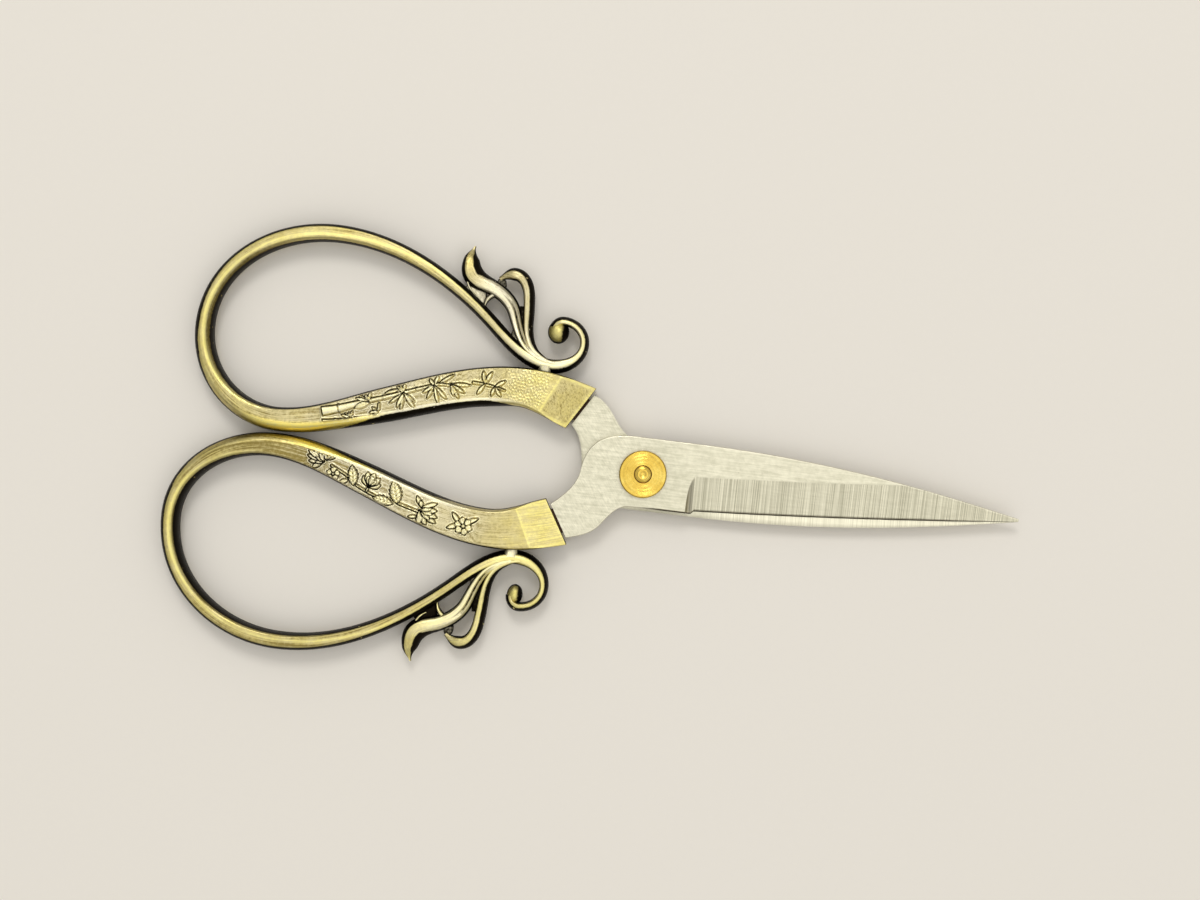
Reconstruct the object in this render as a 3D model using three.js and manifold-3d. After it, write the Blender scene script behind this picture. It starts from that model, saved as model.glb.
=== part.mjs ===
// Ornamental needlework scissors, closed. Two steel blades turn on one brass rivet between two
// washers, and the tang of each blade is set in a cast handle: socket, flat limb, teardrop
// finger bow, volute, leaf and tendril.
//
// Millimetres and degrees. The origin lies on the pivot axis at the rivet's back end, +X points to
// the tips, +Y to the back blade's handle and +Z to the front. One half is drawn, with z = 0 on the
// plane between the blades, its handle towards +Y and its outer face towards -Z. The other half is
// the same half turned over about X.

import * as THREE from 'three';
import { mergeVertices } from 'three/addons/utils/BufferGeometryUtils.js';
import Module from 'manifold-3d';

const wasm = await Module();
wasm.setup();

const point = (x, y) => new THREE.Vector2(x, y);

// Blade plate
const BLADE_THICKNESS = 1.8;
const BLADE_GAP = 0.06; // between the inner faces of the two blades
const TIP_REACH = 62; // pivot axis to the tip
const TIP_WIDTH = 0.5;
const SPINE_OFFSET = 6; // pivot axis to the straight part of the spine
const SPINE_STRAIGHT_END = 8;
const SPINE_ARM = 20; // how far the spine stays near the straight before it bends
const TIP_ARM = point(18, 3.5); // back and across from the tip, the spine's way into it
const PLATE_REAR = -1.5; // where the straight edges end behind the pivot
const RICASSO_OFFSET = 5.5; // pivot axis to the unground edge beside the pivot
const REAR_CORNER = { at: point(-8.6, -3.7), heading: -50 };
const REAR_WAIST = { at: point(-10.15, 0.5), heading: -84 };

// Ground bevel and hollow
const EDGE_HEEL = point(9, 5.05);
const EDGE_BELLY = 0.35; // rise of the curved edge over its chord
const EDGE_THICKNESS = 0.35;
const BEVEL_WIDTH = 5.75;
const GRIND_START = 9.25; // where the bevel is full
const WHEEL_RADIUS = 1.7; // rounded start of the grind
const HOLLOW_DEPTH = 0.15; // relief of the inner face
const HOLLOW_START = 13;
const HOLLOW_RUNOUT = 6; // where it ends, back from the tip
const HOLLOW_MARGIN = 0.7; // flat left along the edge and along the spine

// Neck, shoulder and tang
const SHOULDER = point(-11, 9.2);
const SHOULDER_HALF_WIDTH = 3.05;
const SHOULDER_SKEW = 31; // the shoulder's normal to the X axis
const NECK_BEND = { at: point(-5.9, 9), heading: 126 };
const NECK_OUTER_HEADING = 166;
const NECK_INNER_HEADING = -40;
const FRONT_NECK_EXTRA = 1.75; // the front blade's neck is longer
const TANG_HALF_WIDTH = 2;
const TANG_LENGTH = 10;
const TANG_SKEW = 12;
const TANG_CLEARANCE = 0.15;
const LOCK_HOLE_RADIUS = 1.1;
const LOCK_HOLE_AT = 5; // along the tang from the shoulder
const LOCK_CLEARANCE = 0.15;

// Pivot
const RIVET_RADIUS = 1.15;
const RIVET_CLEARANCE = 0.05;
const RIVET_FLARE = 0.25; // peened end, over the shank
const RIVET_PROUD = 0.02; // ends above the washers
const DIMPLE_RADIUS = 0.75;
const DIMPLE_DEPTH = 0.5;
const WASHER_RADIUS = 3.87;
const WASHER_THICKNESS = 1.1;
const WASHER_CHAMFER = 0.15;
const WASHER_GAP = 0.05; // to the blade

// Handle casting
const HANDLE_THICKNESS = 6;
const SEAT_GAP = 0.45; // open joint between the shoulder and the socket's mouth
const FACET_LENGTH = 5.4; // sloped face at the socket's mouth
const FACET_DROP = 0.7;
const FACET_SKEW = 26;
const BOWS_MEET = 60.5; // pivot axis back to where the closed bows are nearest
const BOW_GAP = 0.6; // between the closed bows
const FRONT_BOW_WIDENING = 1.055; // the front handle's bow and scroll stand further out
const BACK_BEAD_RADIUS = 1.7; // end of the volute
const FRONT_BEAD_RADIUS = 1.3;
const BEAD_INSET = point(0.45, -0.25); // from the curl's end, in bead radii
const BRIDGE_AT = -6.6; // tie between the limb and the scroll, from the mouth
const BRIDGE_WIDTH = 2.4;
const BRIDGE_HEIGHT = 3;
const WEB_THICKNESS = 1.6;

// Facets of the curved surfaces
const SHOULDER_STEPS = 3;
const DEGREES_PER_STEP = 10;
const LENGTH_PER_STEP = 7;
const ROUND_SEGMENTS = 36;
const BEAD_SEGMENTS = 14;
const OUTLINE_SEGMENTS = 18;
const WHEEL_STEPS = 6;
const EDGE_STEPS = 12;
const HOLLOW_STEPS = 10;
const HOLLOW_ARC_STEPS = 6;

// Length by which a cutter passes what it cuts
const OVERCUT = 2;

// Station of a strand: place from the socket's mouth, heading, half sizes of the section, and the
// width and depth of its rounded shoulders.
const station = (x, y, heading, halfWidth, halfHeight, shoulderWidth, shoulderDepth) => ({
  at: point(x, y),
  heading,
  halfWidth,
  halfHeight,
  shoulderWidth,
  shoulderDepth,
});

const LIMB_HALF = HANDLE_THICKNESS / 2;
const MOUTH = station(0, 0, 163, 3.98, LIMB_HALF, 0.4, 0.5);
const LIMB_CREST = station(-10.7, 2.3, 180, 3.15, LIMB_HALF, 0.8, 1.7);
const LIMB_FLANK = station(-31.7, -3.05, 199, 2.6, LIMB_HALF, 0.9, 2);
const BOW_HEEL = { heading: 180, halfWidth: 1.87, halfHeight: LIMB_HALF, shoulderWidth: 1, shoulderDepth: 2.2 };
const BOW_END = station(-62.7, 6.2, 90, 1.5, 2.6, 1.3, 2.3);
const BOW_CROWN = station(-42.7, 23.55, 0, 1.42, 2.4, 1.25, 2.2);
const BOW_TAIL = station(-15.7, 11.8, -42, 0.95, 2.1, 0.8, 1.9);
const VOLUTE = {
  root: station(-5.7, 6.65, 0, 0.75, 1.9, 0.6, 1.7),
  side: station(-0.65, 10.4, 90, 0.75, 1.8, 0.6, 1.6),
  top: station(-4.4, 13.85, 180, 0.75, 1.8, 0.6, 1.6),
  curl: station(-6.1, 12.2, 270, 0.6, 1.5, 0.45, 1.3),
};
const TENDRIL = [
  station(-8.1, 7.2, 128, 0.5, 1.6, 0.4, 1.4),
  station(-10.2, 13, 94, 0.85, 1.6, 0.7, 1.4),
  station(-10.6, 17.2, 98, 0.95, 1.5, 0.8, 1.3),
  station(-13.3, 20.5, 180, 0.8, 1.4, 0.65, 1.2),
  station(-15.7, 19.4, 218, 0.2, 0.7, 0.1, 0.5),
];
const LEAF = [
  station(-9.6, 7.9, 128, 0.45, 1.5, 0.35, 1.3),
  station(-12.6, 14.1, 111, 0.7, 1.5, 0.55, 1.3),
  station(-17.1, 18.05, 160, 1.1, 1.6, 0.95, 1.4),
  station(-20, 19.5, 131, 1.5, 1.7, 1.35, 1.5),
  station(-20.45, 24.1, 72, 0.2, 0.6, 0.1, 0.4),
];
// Webs of the casting that tie the leaf to the strand, the stem to the strand, the tendril to
// the stem and the tendril's tip to the leaf.
const WEBS = [
  [point(-20.5, 18), point(-17.3, 17), point(-17.6, 14.4), point(-21.5, 17.4)],
  [point(-12.7, 11.6), point(-12.9, 10), point(-10.6, 8.3), point(-11.2, 10.6)],
  [point(-12, 15.6), point(-12, 13), point(-10.4, 9.4), point(-10.4, 15.3)],
  [point(-16, 19.5), point(-16.2, 18.2), point(-14.4, 17.9), point(-14.6, 19.4)],
];

// Places worked out from the sizes
const toRadians = THREE.MathUtils.degToRad;
const direction = (degrees) => point(Math.cos(toRadians(degrees)), Math.sin(toRadians(degrees)));
const along = (from, way, distance) => from.clone().addScaledVector(way, distance);

const INNER_FACE = -BLADE_GAP / 2;
const OUTER_FACE = INNER_FACE - BLADE_THICKNESS;
const HALF_STACK = WASHER_GAP + WASHER_THICKNESS + RIVET_PROUD - OUTER_FACE;
const SHOULDER_LINE = direction(90 - SHOULDER_SKEW);
const SEAT_WAY = direction(180 - SHOULDER_SKEW);
const TANG_WAY = direction(180 - TANG_SKEW);
const TANG_ACROSS = direction(90 - TANG_SKEW);

const shoulderOf = (neckExtra) => SHOULDER.clone().sub(point(neckExtra, 0));
const lockHoleOf = (shoulder) => along(shoulder, TANG_WAY, LOCK_HOLE_AT);

// Closed solid of a geometry whose faces point out.
function solid(geometry) {
  geometry.deleteAttribute('normal');
  geometry.deleteAttribute('uv');
  const merged = mergeVertices(geometry);
  return new wasm.Manifold(new wasm.Mesh({
    numProp: 3,
    vertProperties: new Float32Array(merged.attributes.position.array),
    triVerts: new Uint32Array(merged.index.array),
  }));
}

// Geometry of a solid, for a mesh.
function geometryOf(body) {
  const mesh = body.getMesh();
  const geometry = new THREE.BufferGeometry();
  geometry.setAttribute('position', new THREE.BufferAttribute(new Float32Array(mesh.vertProperties), 3));
  geometry.setIndex(new THREE.BufferAttribute(new Uint32Array(mesh.triVerts), 1));
  geometry.computeVertexNormals();
  return geometry;
}

// Solid through rings of equal count, each turning left about the way of travel.
function loft(rings) {
  const count = rings[0].length;
  const last = (rings.length - 1) * count;
  const index = [];
  for (let ring = 0; ring < last; ring += count) {
    for (let i = 0; i < count; i += 1) {
      const here = ring + i;
      const beside = ring + (i + 1) % count;
      index.push(here, beside, beside + count, here, beside + count, here + count);
    }
  }
  for (let i = 1; i + 1 < count; i += 1) {
    index.push(0, i + 1, i, last, last + i, last + i + 1);
  }
  const geometry = new THREE.BufferGeometry();
  geometry.setFromPoints(rings.flat());
  geometry.setIndex(index);
  return solid(geometry);
}

// Plate of an outline between two heights.
function plate(outline, low, high) {
  const geometry = new THREE.ExtrudeGeometry(outline, {
    depth: high - low,
    bevelEnabled: false,
    curveSegments: OUTLINE_SEGMENTS,
  });
  geometry.translate(0, 0, low);
  return solid(geometry);
}

// Box of a size, moved by an offset, tilted about Y, turned about Z and set at a place.
function block(size, offset, tilt, turn, place, height) {
  const geometry = new THREE.BoxGeometry(...size);
  geometry.translate(...offset);
  geometry.rotateY(tilt);
  geometry.rotateZ(turn);
  geometry.translate(place.x, place.y, height);
  return solid(geometry);
}

// Turned piece about Z, from [radius, height] corners that go up the outside.
function turned(corners) {
  const profile = corners.map(([radius, height]) => point(radius, height));
  const geometry = new THREE.LatheGeometry(profile, ROUND_SEGMENTS);
  geometry.rotateX(Math.PI / 2);
  return geometry;
}

// One cubic span for each pair of waypoints, with the arms of a circular arc of the same turn.
function flow(waypoints) {
  return waypoints.slice(1).map((to, i) => {
    const from = waypoints[i];
    const turn = toRadians(to.heading - from.heading);
    const arm = from.at.distanceTo(to.at) / (3 * Math.cos(turn / 4) ** 2);
    const leave = along(from.at, direction(from.heading), arm);
    const arrive = along(to.at, direction(to.heading), -arm);
    return new THREE.CubicBezierCurve(from.at, leave, arrive, to.at);
  });
}

// Value at a share of a span, by a cubic through the values at the stations that is level where
// they stop rising or falling, so it never passes them.
function glide(values, lengths, span, share) {
  const slope = (i) => {
    const before = Math.max(i - 1, 0);
    const after = Math.min(i + 1, values.length - 1);
    const levels = (values[i] - values[before]) * (values[after] - values[i]) <= 0;
    return levels ? 0 : (values[after] - values[before]) / (lengths[after] - lengths[before]);
  };
  const reach = lengths[span + 1] - lengths[span];
  const rest = 1 - share;
  return values[span] * (1 + 2 * share) * rest ** 2
    + values[span + 1] * (3 - 2 * share) * share ** 2
    + reach * share * rest * (slope(span) * rest - slope(span + 1) * share);
}

// Section ring: flat faces and flat sides joined by elliptical shoulders.
function sectionRing(middle, tangent, size) {
  const corners = [[1, 1], [-1, 1], [-1, -1], [1, -1]];
  return corners.flatMap(([across, up], quarter) => {
    const ring = [];
    for (let i = 0; i <= SHOULDER_STEPS; i += 1) {
      const angle = (quarter + i / SHOULDER_STEPS) * Math.PI / 2;
      const side = across * (size.halfWidth - size.shoulderWidth) + size.shoulderWidth * Math.cos(angle);
      const rise = up * (size.halfHeight - size.shoulderDepth) + size.shoulderDepth * Math.sin(angle);
      ring.push(new THREE.Vector3(middle.x - tangent.y * side, middle.y + tangent.x * side, rise));
    }
    return ring;
  });
}

// Strand whose section glides from station to station along a flowing path.
function strand(stations) {
  const spans = flow(stations);
  const lengths = [0];
  spans.forEach((span, i) => lengths.push(lengths[i] + span.getLength()));
  const ringAt = (span, share) => {
    const size = {};
    ['halfWidth', 'halfHeight', 'shoulderWidth', 'shoulderDepth'].forEach((key) => {
      size[key] = glide(stations.map((entry) => entry[key]), lengths, span, share);
    });
    return sectionRing(spans[span].getPoint(share), spans[span].getTangent(share), size);
  };
  const rings = [ringAt(0, 0)];
  spans.forEach((span, i) => {
    const turn = Math.abs(stations[i + 1].heading - stations[i].heading);
    const steps = Math.ceil(turn / DEGREES_PER_STEP + span.getLength() / LENGTH_PER_STEP);
    for (let step = 1; step <= steps; step += 1) {
      rings.push(ringAt(i, step / steps));
    }
  });
  return loft(rings);
}

// Spine from the end of its straight part to the tip.
function spineCurve() {
  const tip = point(TIP_REACH, -TIP_WIDTH / 2);
  return new THREE.CubicBezierCurve(
    point(SPINE_STRAIGHT_END, -SPINE_OFFSET),
    point(SPINE_STRAIGHT_END + SPINE_ARM, -SPINE_OFFSET),
    tip.clone().sub(TIP_ARM),
    tip,
  );
}

// Cutting edge from its heel to the tip. Its middle point halves the chord, so x runs evenly.
function edgeCurve() {
  const tip = point(TIP_REACH, TIP_WIDTH / 2);
  const belly = EDGE_HEEL.clone().add(tip).divideScalar(2);
  belly.y += 2 * EDGE_BELLY;
  return new THREE.QuadraticBezierCurve(EDGE_HEEL, belly, tip);
}

const edgeShare = (x) => (x - EDGE_HEEL.x) / (TIP_REACH - EDGE_HEEL.x);

// End of the tang as a half circle, with an allowance all round.
function roundTangEnd(outline, shoulder, allowance) {
  const middle = along(shoulder, TANG_WAY, TANG_LENGTH - TANG_HALF_WIDTH);
  const start = toRadians(90 - TANG_SKEW);
  outline.absarc(middle.x, middle.y, TANG_HALF_WIDTH + allowance, start, start + Math.PI, false);
}

const roundHole = (middle, radius) => new THREE.Path().absarc(middle.x, middle.y, radius, 0, 2 * Math.PI);

// Outline of a blade with its neck and tang: along the spine to the tip, back along the cutting
// edge and the neck's outer side, round the tang, and down the neck's inner side.
function bladeOutline(neckExtra) {
  const shoulder = shoulderOf(neckExtra);
  const outerCorner = along(shoulder, SHOULDER_LINE, SHOULDER_HALF_WIDTH);
  const innerCorner = along(shoulder, SHOULDER_LINE, -SHOULDER_HALF_WIDTH);
  const tangSide = TANG_HALF_WIDTH / Math.cos(toRadians(SHOULDER_SKEW - TANG_SKEW));
  const rearSpine = point(PLATE_REAR, -SPINE_OFFSET);
  const rearRicasso = point(PLATE_REAR, RICASSO_OFFSET);
  const edge = edgeCurve();
  const outline = new THREE.Shape();
  const lineTo = (place) => outline.lineTo(place.x, place.y);
  const curveTo = (span) => outline.bezierCurveTo(...span.v1, ...span.v2, ...span.v3);
  outline.moveTo(rearSpine.x, rearSpine.y);
  lineTo(point(SPINE_STRAIGHT_END, -SPINE_OFFSET));
  curveTo(spineCurve());
  lineTo(edge.v2);
  outline.quadraticCurveTo(...edge.v1, ...edge.v0);
  lineTo(point(EDGE_HEEL.x + EDGE_HEEL.y - RICASSO_OFFSET, RICASSO_OFFSET));
  lineTo(rearRicasso);
  flow([
    { at: rearRicasso, heading: 180 },
    NECK_BEND,
    { at: outerCorner, heading: NECK_OUTER_HEADING },
  ]).forEach(curveTo);
  lineTo(along(shoulder, SHOULDER_LINE, tangSide));
  roundTangEnd(outline, shoulder, 0);
  lineTo(along(shoulder, SHOULDER_LINE, -tangSide));
  lineTo(innerCorner);
  flow([
    { at: innerCorner, heading: NECK_INNER_HEADING },
    REAR_WAIST,
    REAR_CORNER,
    { at: rearSpine, heading: 0 },
  ]).forEach(curveTo);
  outline.holes.push(
    roundHole(lockHoleOf(shoulder), LOCK_HOLE_RADIUS),
    roundHole(point(0, 0), RIVET_RADIUS + RIVET_CLEARANCE),
  );
  return outline;
}

// Grinding cut of the bevel: it follows the edge at one width and starts with the wheel's radius.
function bevelCut() {
  const edge = edgeCurve();
  const slope = (BLADE_THICKNESS - EDGE_THICKNESS) / BEVEL_WIDTH;
  const beyond = OUTER_FACE - WHEEL_RADIUS - OVERCUT;
  const ringAt = (x, lift) => {
    const middle = edge.getPoint(edgeShare(x));
    const tangent = edge.getTangent(THREE.MathUtils.clamp(edgeShare(x), 0, 1));
    const at = (inward, z) => new THREE.Vector3(middle.x + tangent.y * inward, middle.y - tangent.x * inward, z);
    const ground = (inward) => at(inward, INNER_FACE - EDGE_THICKNESS - slope * inward - lift);
    return [
      ground(-OVERCUT),
      ground(BEVEL_WIDTH + OVERCUT),
      at(BEVEL_WIDTH + OVERCUT, beyond),
      at(-OVERCUT, beyond),
    ];
  };
  const rings = [];
  for (let step = 0; step <= WHEEL_STEPS; step += 1) {
    const angle = step / WHEEL_STEPS * Math.PI / 2;
    rings.push(ringAt(GRIND_START - WHEEL_RADIUS * Math.cos(angle), WHEEL_RADIUS * (1 - Math.sin(angle))));
  }
  const reach = TIP_REACH + OVERCUT - GRIND_START;
  for (let step = 1; step <= EDGE_STEPS; step += 1) {
    rings.push(ringAt(GRIND_START + reach * step / EDGE_STEPS, 0));
  }
  return loft(rings);
}

// Height of the spine at a distance from the pivot, on the line between two of its points.
function spineAt(x) {
  const spine = spineCurve().getPoints(HOLLOW_STEPS * OUTLINE_SEGMENTS);
  const next = spine.findIndex((place) => place.x >= x);
  const from = spine[next - 1];
  const to = spine[next];
  return THREE.MathUtils.mapLinear(x, from.x, to.x, from.y, to.y);
}

// Shallow hollow of the inner face, between flats along the edge and the spine.
function hollowCut() {
  const edge = edgeCurve();
  const end = TIP_REACH - HOLLOW_RUNOUT;
  const rim = HOLLOW_DEPTH / 2; // its sides start this far above the face
  const rings = [];
  for (let step = 0; step <= HOLLOW_STEPS; step += 1) {
    const x = THREE.MathUtils.lerp(HOLLOW_START, end, step / HOLLOW_STEPS);
    const high = edge.getPoint(edgeShare(x)).y - HOLLOW_MARGIN;
    const low = spineAt(x) + HOLLOW_MARGIN;
    const depth = step % HOLLOW_STEPS === 0 ? 0 : HOLLOW_DEPTH + rim;
    const ring = [new THREE.Vector3(x, high, OVERCUT), new THREE.Vector3(x, low, OVERCUT)];
    for (let i = 0; i <= HOLLOW_ARC_STEPS; i += 1) {
      const share = i / HOLLOW_ARC_STEPS;
      const z = INNER_FACE + rim - 4 * share * (1 - share) * depth;
      ring.push(new THREE.Vector3(x, THREE.MathUtils.lerp(low, high, share), z));
    }
    rings.push(ring);
  }
  return loft(rings);
}

function blade(neckExtra) {
  return plate(bladeOutline(neckExtra), OUTER_FACE, INNER_FACE)
    .subtract(bevelCut())
    .subtract(hollowCut());
}

// Bead that closes the volute.
function bead(curl, radius) {
  const geometry = new THREE.SphereGeometry(radius, BEAD_SEGMENTS, BEAD_SEGMENTS / 2);
  const middle = along(curl, BEAD_INSET, radius);
  geometry.translate(middle.x, middle.y, 0);
  return solid(geometry);
}

// Bridge from the middle of the limb to the middle of the volute's root.
function bridge(limb, root, mouth) {
  const reach = root.y - limb.y;
  const size = [BRIDGE_WIDTH, reach, BRIDGE_HEIGHT];
  return block(size, [0, reach / 2, 0], 0, 0, point(mouth.x + BRIDGE_AT, limb.y), 0);
}

// Everything on the blade's side of the mouth.
function mouthCut(mouth) {
  const reach = 4 * OVERCUT;
  const size = [reach, 4 * MOUTH.halfWidth, 2 * HANDLE_THICKNESS];
  return block(size, [reach / 2, 0, 0], 0, toRadians(-SHOULDER_SKEW), mouth, 0);
}

// Sloped face at the mouth, on the front or the back.
function facetCut(mouth, side) {
  const size = [4 * FACET_LENGTH, 4 * MOUTH.halfWidth, HANDLE_THICKNESS];
  const line = along(mouth, direction(180 - FACET_SKEW), FACET_LENGTH);
  const tilt = side * Math.atan2(FACET_DROP, FACET_LENGTH);
  const offset = [0, 0, side * HANDLE_THICKNESS / 2];
  return block(size, offset, tilt, toRadians(-FACET_SKEW), line, side * LIMB_HALF);
}

// Socket of the casting, the tang with its clearance.
function socketCut(shoulder) {
  const start = along(shoulder, TANG_WAY, -2 * OVERCUT);
  const half = TANG_HALF_WIDTH + TANG_CLEARANCE;
  const outline = new THREE.Shape();
  outline.moveTo(...along(start, TANG_ACROSS, -half));
  outline.lineTo(...along(start, TANG_ACROSS, half));
  roundTangEnd(outline, shoulder, TANG_CLEARANCE);
  return plate(outline, OUTER_FACE - TANG_CLEARANCE, INNER_FACE + TANG_CLEARANCE);
}

// Post of the casting that fills the hole of the tang and holds it.
function lockPost(shoulder) {
  const middle = lockHoleOf(shoulder);
  const outline = new THREE.Shape();
  outline.absarc(middle.x, middle.y, LOCK_HOLE_RADIUS - LOCK_CLEARANCE, 0, 2 * Math.PI);
  const rooted = 2 * TANG_CLEARANCE;
  return plate(outline, OUTER_FACE - rooted, INNER_FACE + rooted);
}

// Casting of a handle: one strand from the socket round the bow into the volute, with its bead,
// tendril, leaf, webs and bridge, cut for the mouth, its facets and the tang.
function handle(neckExtra, widening, beadRadius) {
  const shoulder = shoulderOf(neckExtra);
  const mouth = along(shoulder, SEAT_WAY, SEAT_GAP);
  const place = (at) => point(at.x, at.y > 0 ? at.y * widening : at.y).add(mouth);
  const placed = (entry) => ({ ...entry, at: place(entry.at) });
  const lead = { ...MOUTH, at: along(mouth, direction(MOUTH.heading), -2 * OVERCUT) };
  const heel = { ...BOW_HEEL, at: point(-BOWS_MEET, BOW_HEEL.halfWidth + BOW_GAP / 2) };
  const limb = [MOUTH, LIMB_CREST, LIMB_FLANK].map(placed);
  const bow = [BOW_END, BOW_CROWN, BOW_TAIL, ...Object.values(VOLUTE)].map(placed);
  const webs = WEBS.map((web) => new THREE.Shape(web.map(place)));
  const casting = [
    strand([lead, ...limb, heel, ...bow]),
    strand(TENDRIL.map(placed)),
    strand(LEAF.map(placed)),
    bead(place(VOLUTE.curl.at), beadRadius),
    bridge(place(LIMB_CREST.at), place(VOLUTE.root.at), mouth),
    ...webs.map((web) => plate(web, -WEB_THICKNESS / 2, WEB_THICKNESS / 2)),
  ].reduce((whole, part) => whole.add(part));
  return casting
    .subtract(mouthCut(mouth))
    .subtract(facetCut(mouth, 1))
    .subtract(facetCut(mouth, -1))
    .subtract(socketCut(shoulder))
    .add(lockPost(shoulder));
}

// Rivet with both ends peened into the washers, and a dimple in the front end.
function rivet() {
  const flared = RIVET_RADIUS + RIVET_FLARE;
  return turned([
    [0, -HALF_STACK],
    [flared, -HALF_STACK],
    [RIVET_RADIUS, RIVET_FLARE - HALF_STACK],
    [RIVET_RADIUS, HALF_STACK - RIVET_FLARE],
    [flared, HALF_STACK],
    [DIMPLE_RADIUS, HALF_STACK],
    [0, HALF_STACK - DIMPLE_DEPTH],
  ]);
}

// Washer on the front blade, countersunk for the peened end of the rivet.
function washer() {
  const low = WASHER_GAP - OUTER_FACE;
  const high = low + WASHER_THICKNESS;
  const bore = RIVET_RADIUS + RIVET_CLEARANCE;
  const sink = RIVET_FLARE + RIVET_PROUD;
  return turned([
    [bore, low],
    [WASHER_RADIUS, low],
    [WASHER_RADIUS, high - WASHER_CHAMFER],
    [WASHER_RADIUS - WASHER_CHAMFER, high],
    [bore + sink, high],
    [bore, high - sink],
    [bore, low],
  ]);
}

const STEEL = { color: 0xd9d4c4, roughness: 0.32, metalness: 1 };
const CAST_BRASS = { color: 0xb8a86a, roughness: 0.38, metalness: 1 };
const TURNED_BRASS = { color: 0xd9a93c, roughness: 0.28, metalness: 1 };

function piece(name, geometry, finish) {
  const mesh = new THREE.Mesh(geometry, new THREE.MeshStandardMaterial(finish));
  mesh.name = name;
  return mesh;
}

const upperHandle = handle(0, 1, BACK_BEAD_RADIUS);
const backHalf = new THREE.Group();
backHalf.add(
  piece('back_blade', geometryOf(blade(0)), STEEL),
  piece('upper_handle', geometryOf(upperHandle), CAST_BRASS),
);

const lowerHandle = handle(FRONT_NECK_EXTRA, FRONT_BOW_WIDENING, FRONT_BEAD_RADIUS);
const frontHalf = new THREE.Group();
frontHalf.rotation.x = Math.PI;
frontHalf.add(
  piece('front_blade', geometryOf(blade(FRONT_NECK_EXTRA)), STEEL),
  piece('lower_handle', geometryOf(lowerHandle), CAST_BRASS),
);

const frontWasher = piece('front_washer', washer(), TURNED_BRASS);
const backWasher = piece('back_washer', washer(), TURNED_BRASS);
backWasher.rotation.x = Math.PI;

const scissors = new THREE.Group();
scissors.add(backHalf, frontHalf, piece('pivot_rivet', rivet(), TURNED_BRASS), frontWasher, backWasher);
scissors.position.z = HALF_STACK;

export default scissors;
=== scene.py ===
"""Looks of ornamental needlework scissors: satin blades, a turned pivot and antique cast handles.

Shapes are worked out in millimetres as surfaces on grids and put into the meshes in metres. Each half is
drawn with its handle towards +Y: x to the tips, z up from the plane between the blades.
"""

import logging
import math
from collections.abc import Sequence
from dataclasses import dataclass, field, fields, replace
from enum import Enum

import bpy
import numpy as np
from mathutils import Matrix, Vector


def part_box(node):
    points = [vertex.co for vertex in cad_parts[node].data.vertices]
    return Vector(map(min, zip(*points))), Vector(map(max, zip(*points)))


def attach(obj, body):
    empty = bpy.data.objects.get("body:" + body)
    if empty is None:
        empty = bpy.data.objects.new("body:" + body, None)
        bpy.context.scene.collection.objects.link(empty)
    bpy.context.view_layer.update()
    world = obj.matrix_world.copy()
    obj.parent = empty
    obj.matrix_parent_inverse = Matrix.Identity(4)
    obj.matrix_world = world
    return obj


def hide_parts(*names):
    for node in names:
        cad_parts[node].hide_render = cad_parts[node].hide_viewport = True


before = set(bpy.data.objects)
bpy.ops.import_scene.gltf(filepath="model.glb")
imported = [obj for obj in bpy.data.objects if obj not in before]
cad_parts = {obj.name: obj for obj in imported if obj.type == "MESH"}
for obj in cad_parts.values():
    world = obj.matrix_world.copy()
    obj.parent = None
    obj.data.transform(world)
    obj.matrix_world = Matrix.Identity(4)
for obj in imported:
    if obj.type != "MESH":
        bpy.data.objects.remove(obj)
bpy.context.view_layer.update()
RIVET_LOW, RIVET_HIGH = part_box("pivot_rivet")

Array = np.ndarray
Point = tuple[float, float]
Triple = tuple[float, float, float]
Ramp = tuple[float, float, float, float]  # a range of values, and the range that it is carried to
Ring = tuple[Array, Array, Array]
Colour = tuple[float, float, float, float]
Node = bpy.types.Node
Socket = bpy.types.NodeSocket
Material = bpy.types.Material

METRES = 0.001  # metres in a millimetre
LEVEL = (RIVET_LOW.z + RIVET_HIGH.z) / 2 / METRES  # height of the plane between the blades
UPRIGHT = (1.0, 1.0, 1.0)
TURNED_OVER = (1.0, -1.0, -1.0)  # about the length of the part
TURN = 2 * math.pi
DOME = 0.85  # how far the top of a motif falls towards its border
FRONT_NECK = 1.75  # how much longer the front blade's neck is, in millimetres
LOG = logging.getLogger("scissors")


class Half(Enum):
    """The two halves of the pair, with the body that each rides on."""

    BACK = "back_half"
    FRONT = "front_half"


class Slot(Enum):
    """Material slots of the part's record."""

    STEEL = "blade_steel"
    CASTING = "cast_brass"
    TURNED = "turned_brass"


class Kind(Enum):
    """Kinds of socket of a shader group."""

    VALUE = "NodeSocketFloat"
    VECTOR = "NodeSocketVector"
    COLOUR = "NodeSocketColor"


def smooth(low: float | Array, high: float | Array, value: Array) -> Array:
    """Rise from 0 at low to 1 at high, level at both ends: t squared times (3 - 2 t)."""
    share = np.clip((value - low) / (high - low), 0.0, 1.0)
    return share * share * (3.0 - 2.0 * share)


def bell(offset: Array, width: float) -> Array:
    """Bell of height 1 about 0: e to the minus square of the offset in widths."""
    return np.exp(-((offset / width) ** 2))


def way(degrees: float) -> Array:
    """Unit vector in the plane at an angle from +X."""
    return np.array([math.cos(math.radians(degrees)), math.sin(math.radians(degrees))])


def circle(count: int) -> Array:
    """Angles of a full turn, as a row."""
    return np.linspace(0.0, TURN, count, endpoint=False)[None, :]


def running(points: Array) -> Array:
    """Distance of each point from the first, along the line through them."""
    return np.concatenate([[0.0], np.cumsum(np.linalg.norm(np.diff(points, axis=0), axis=1))])


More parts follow.
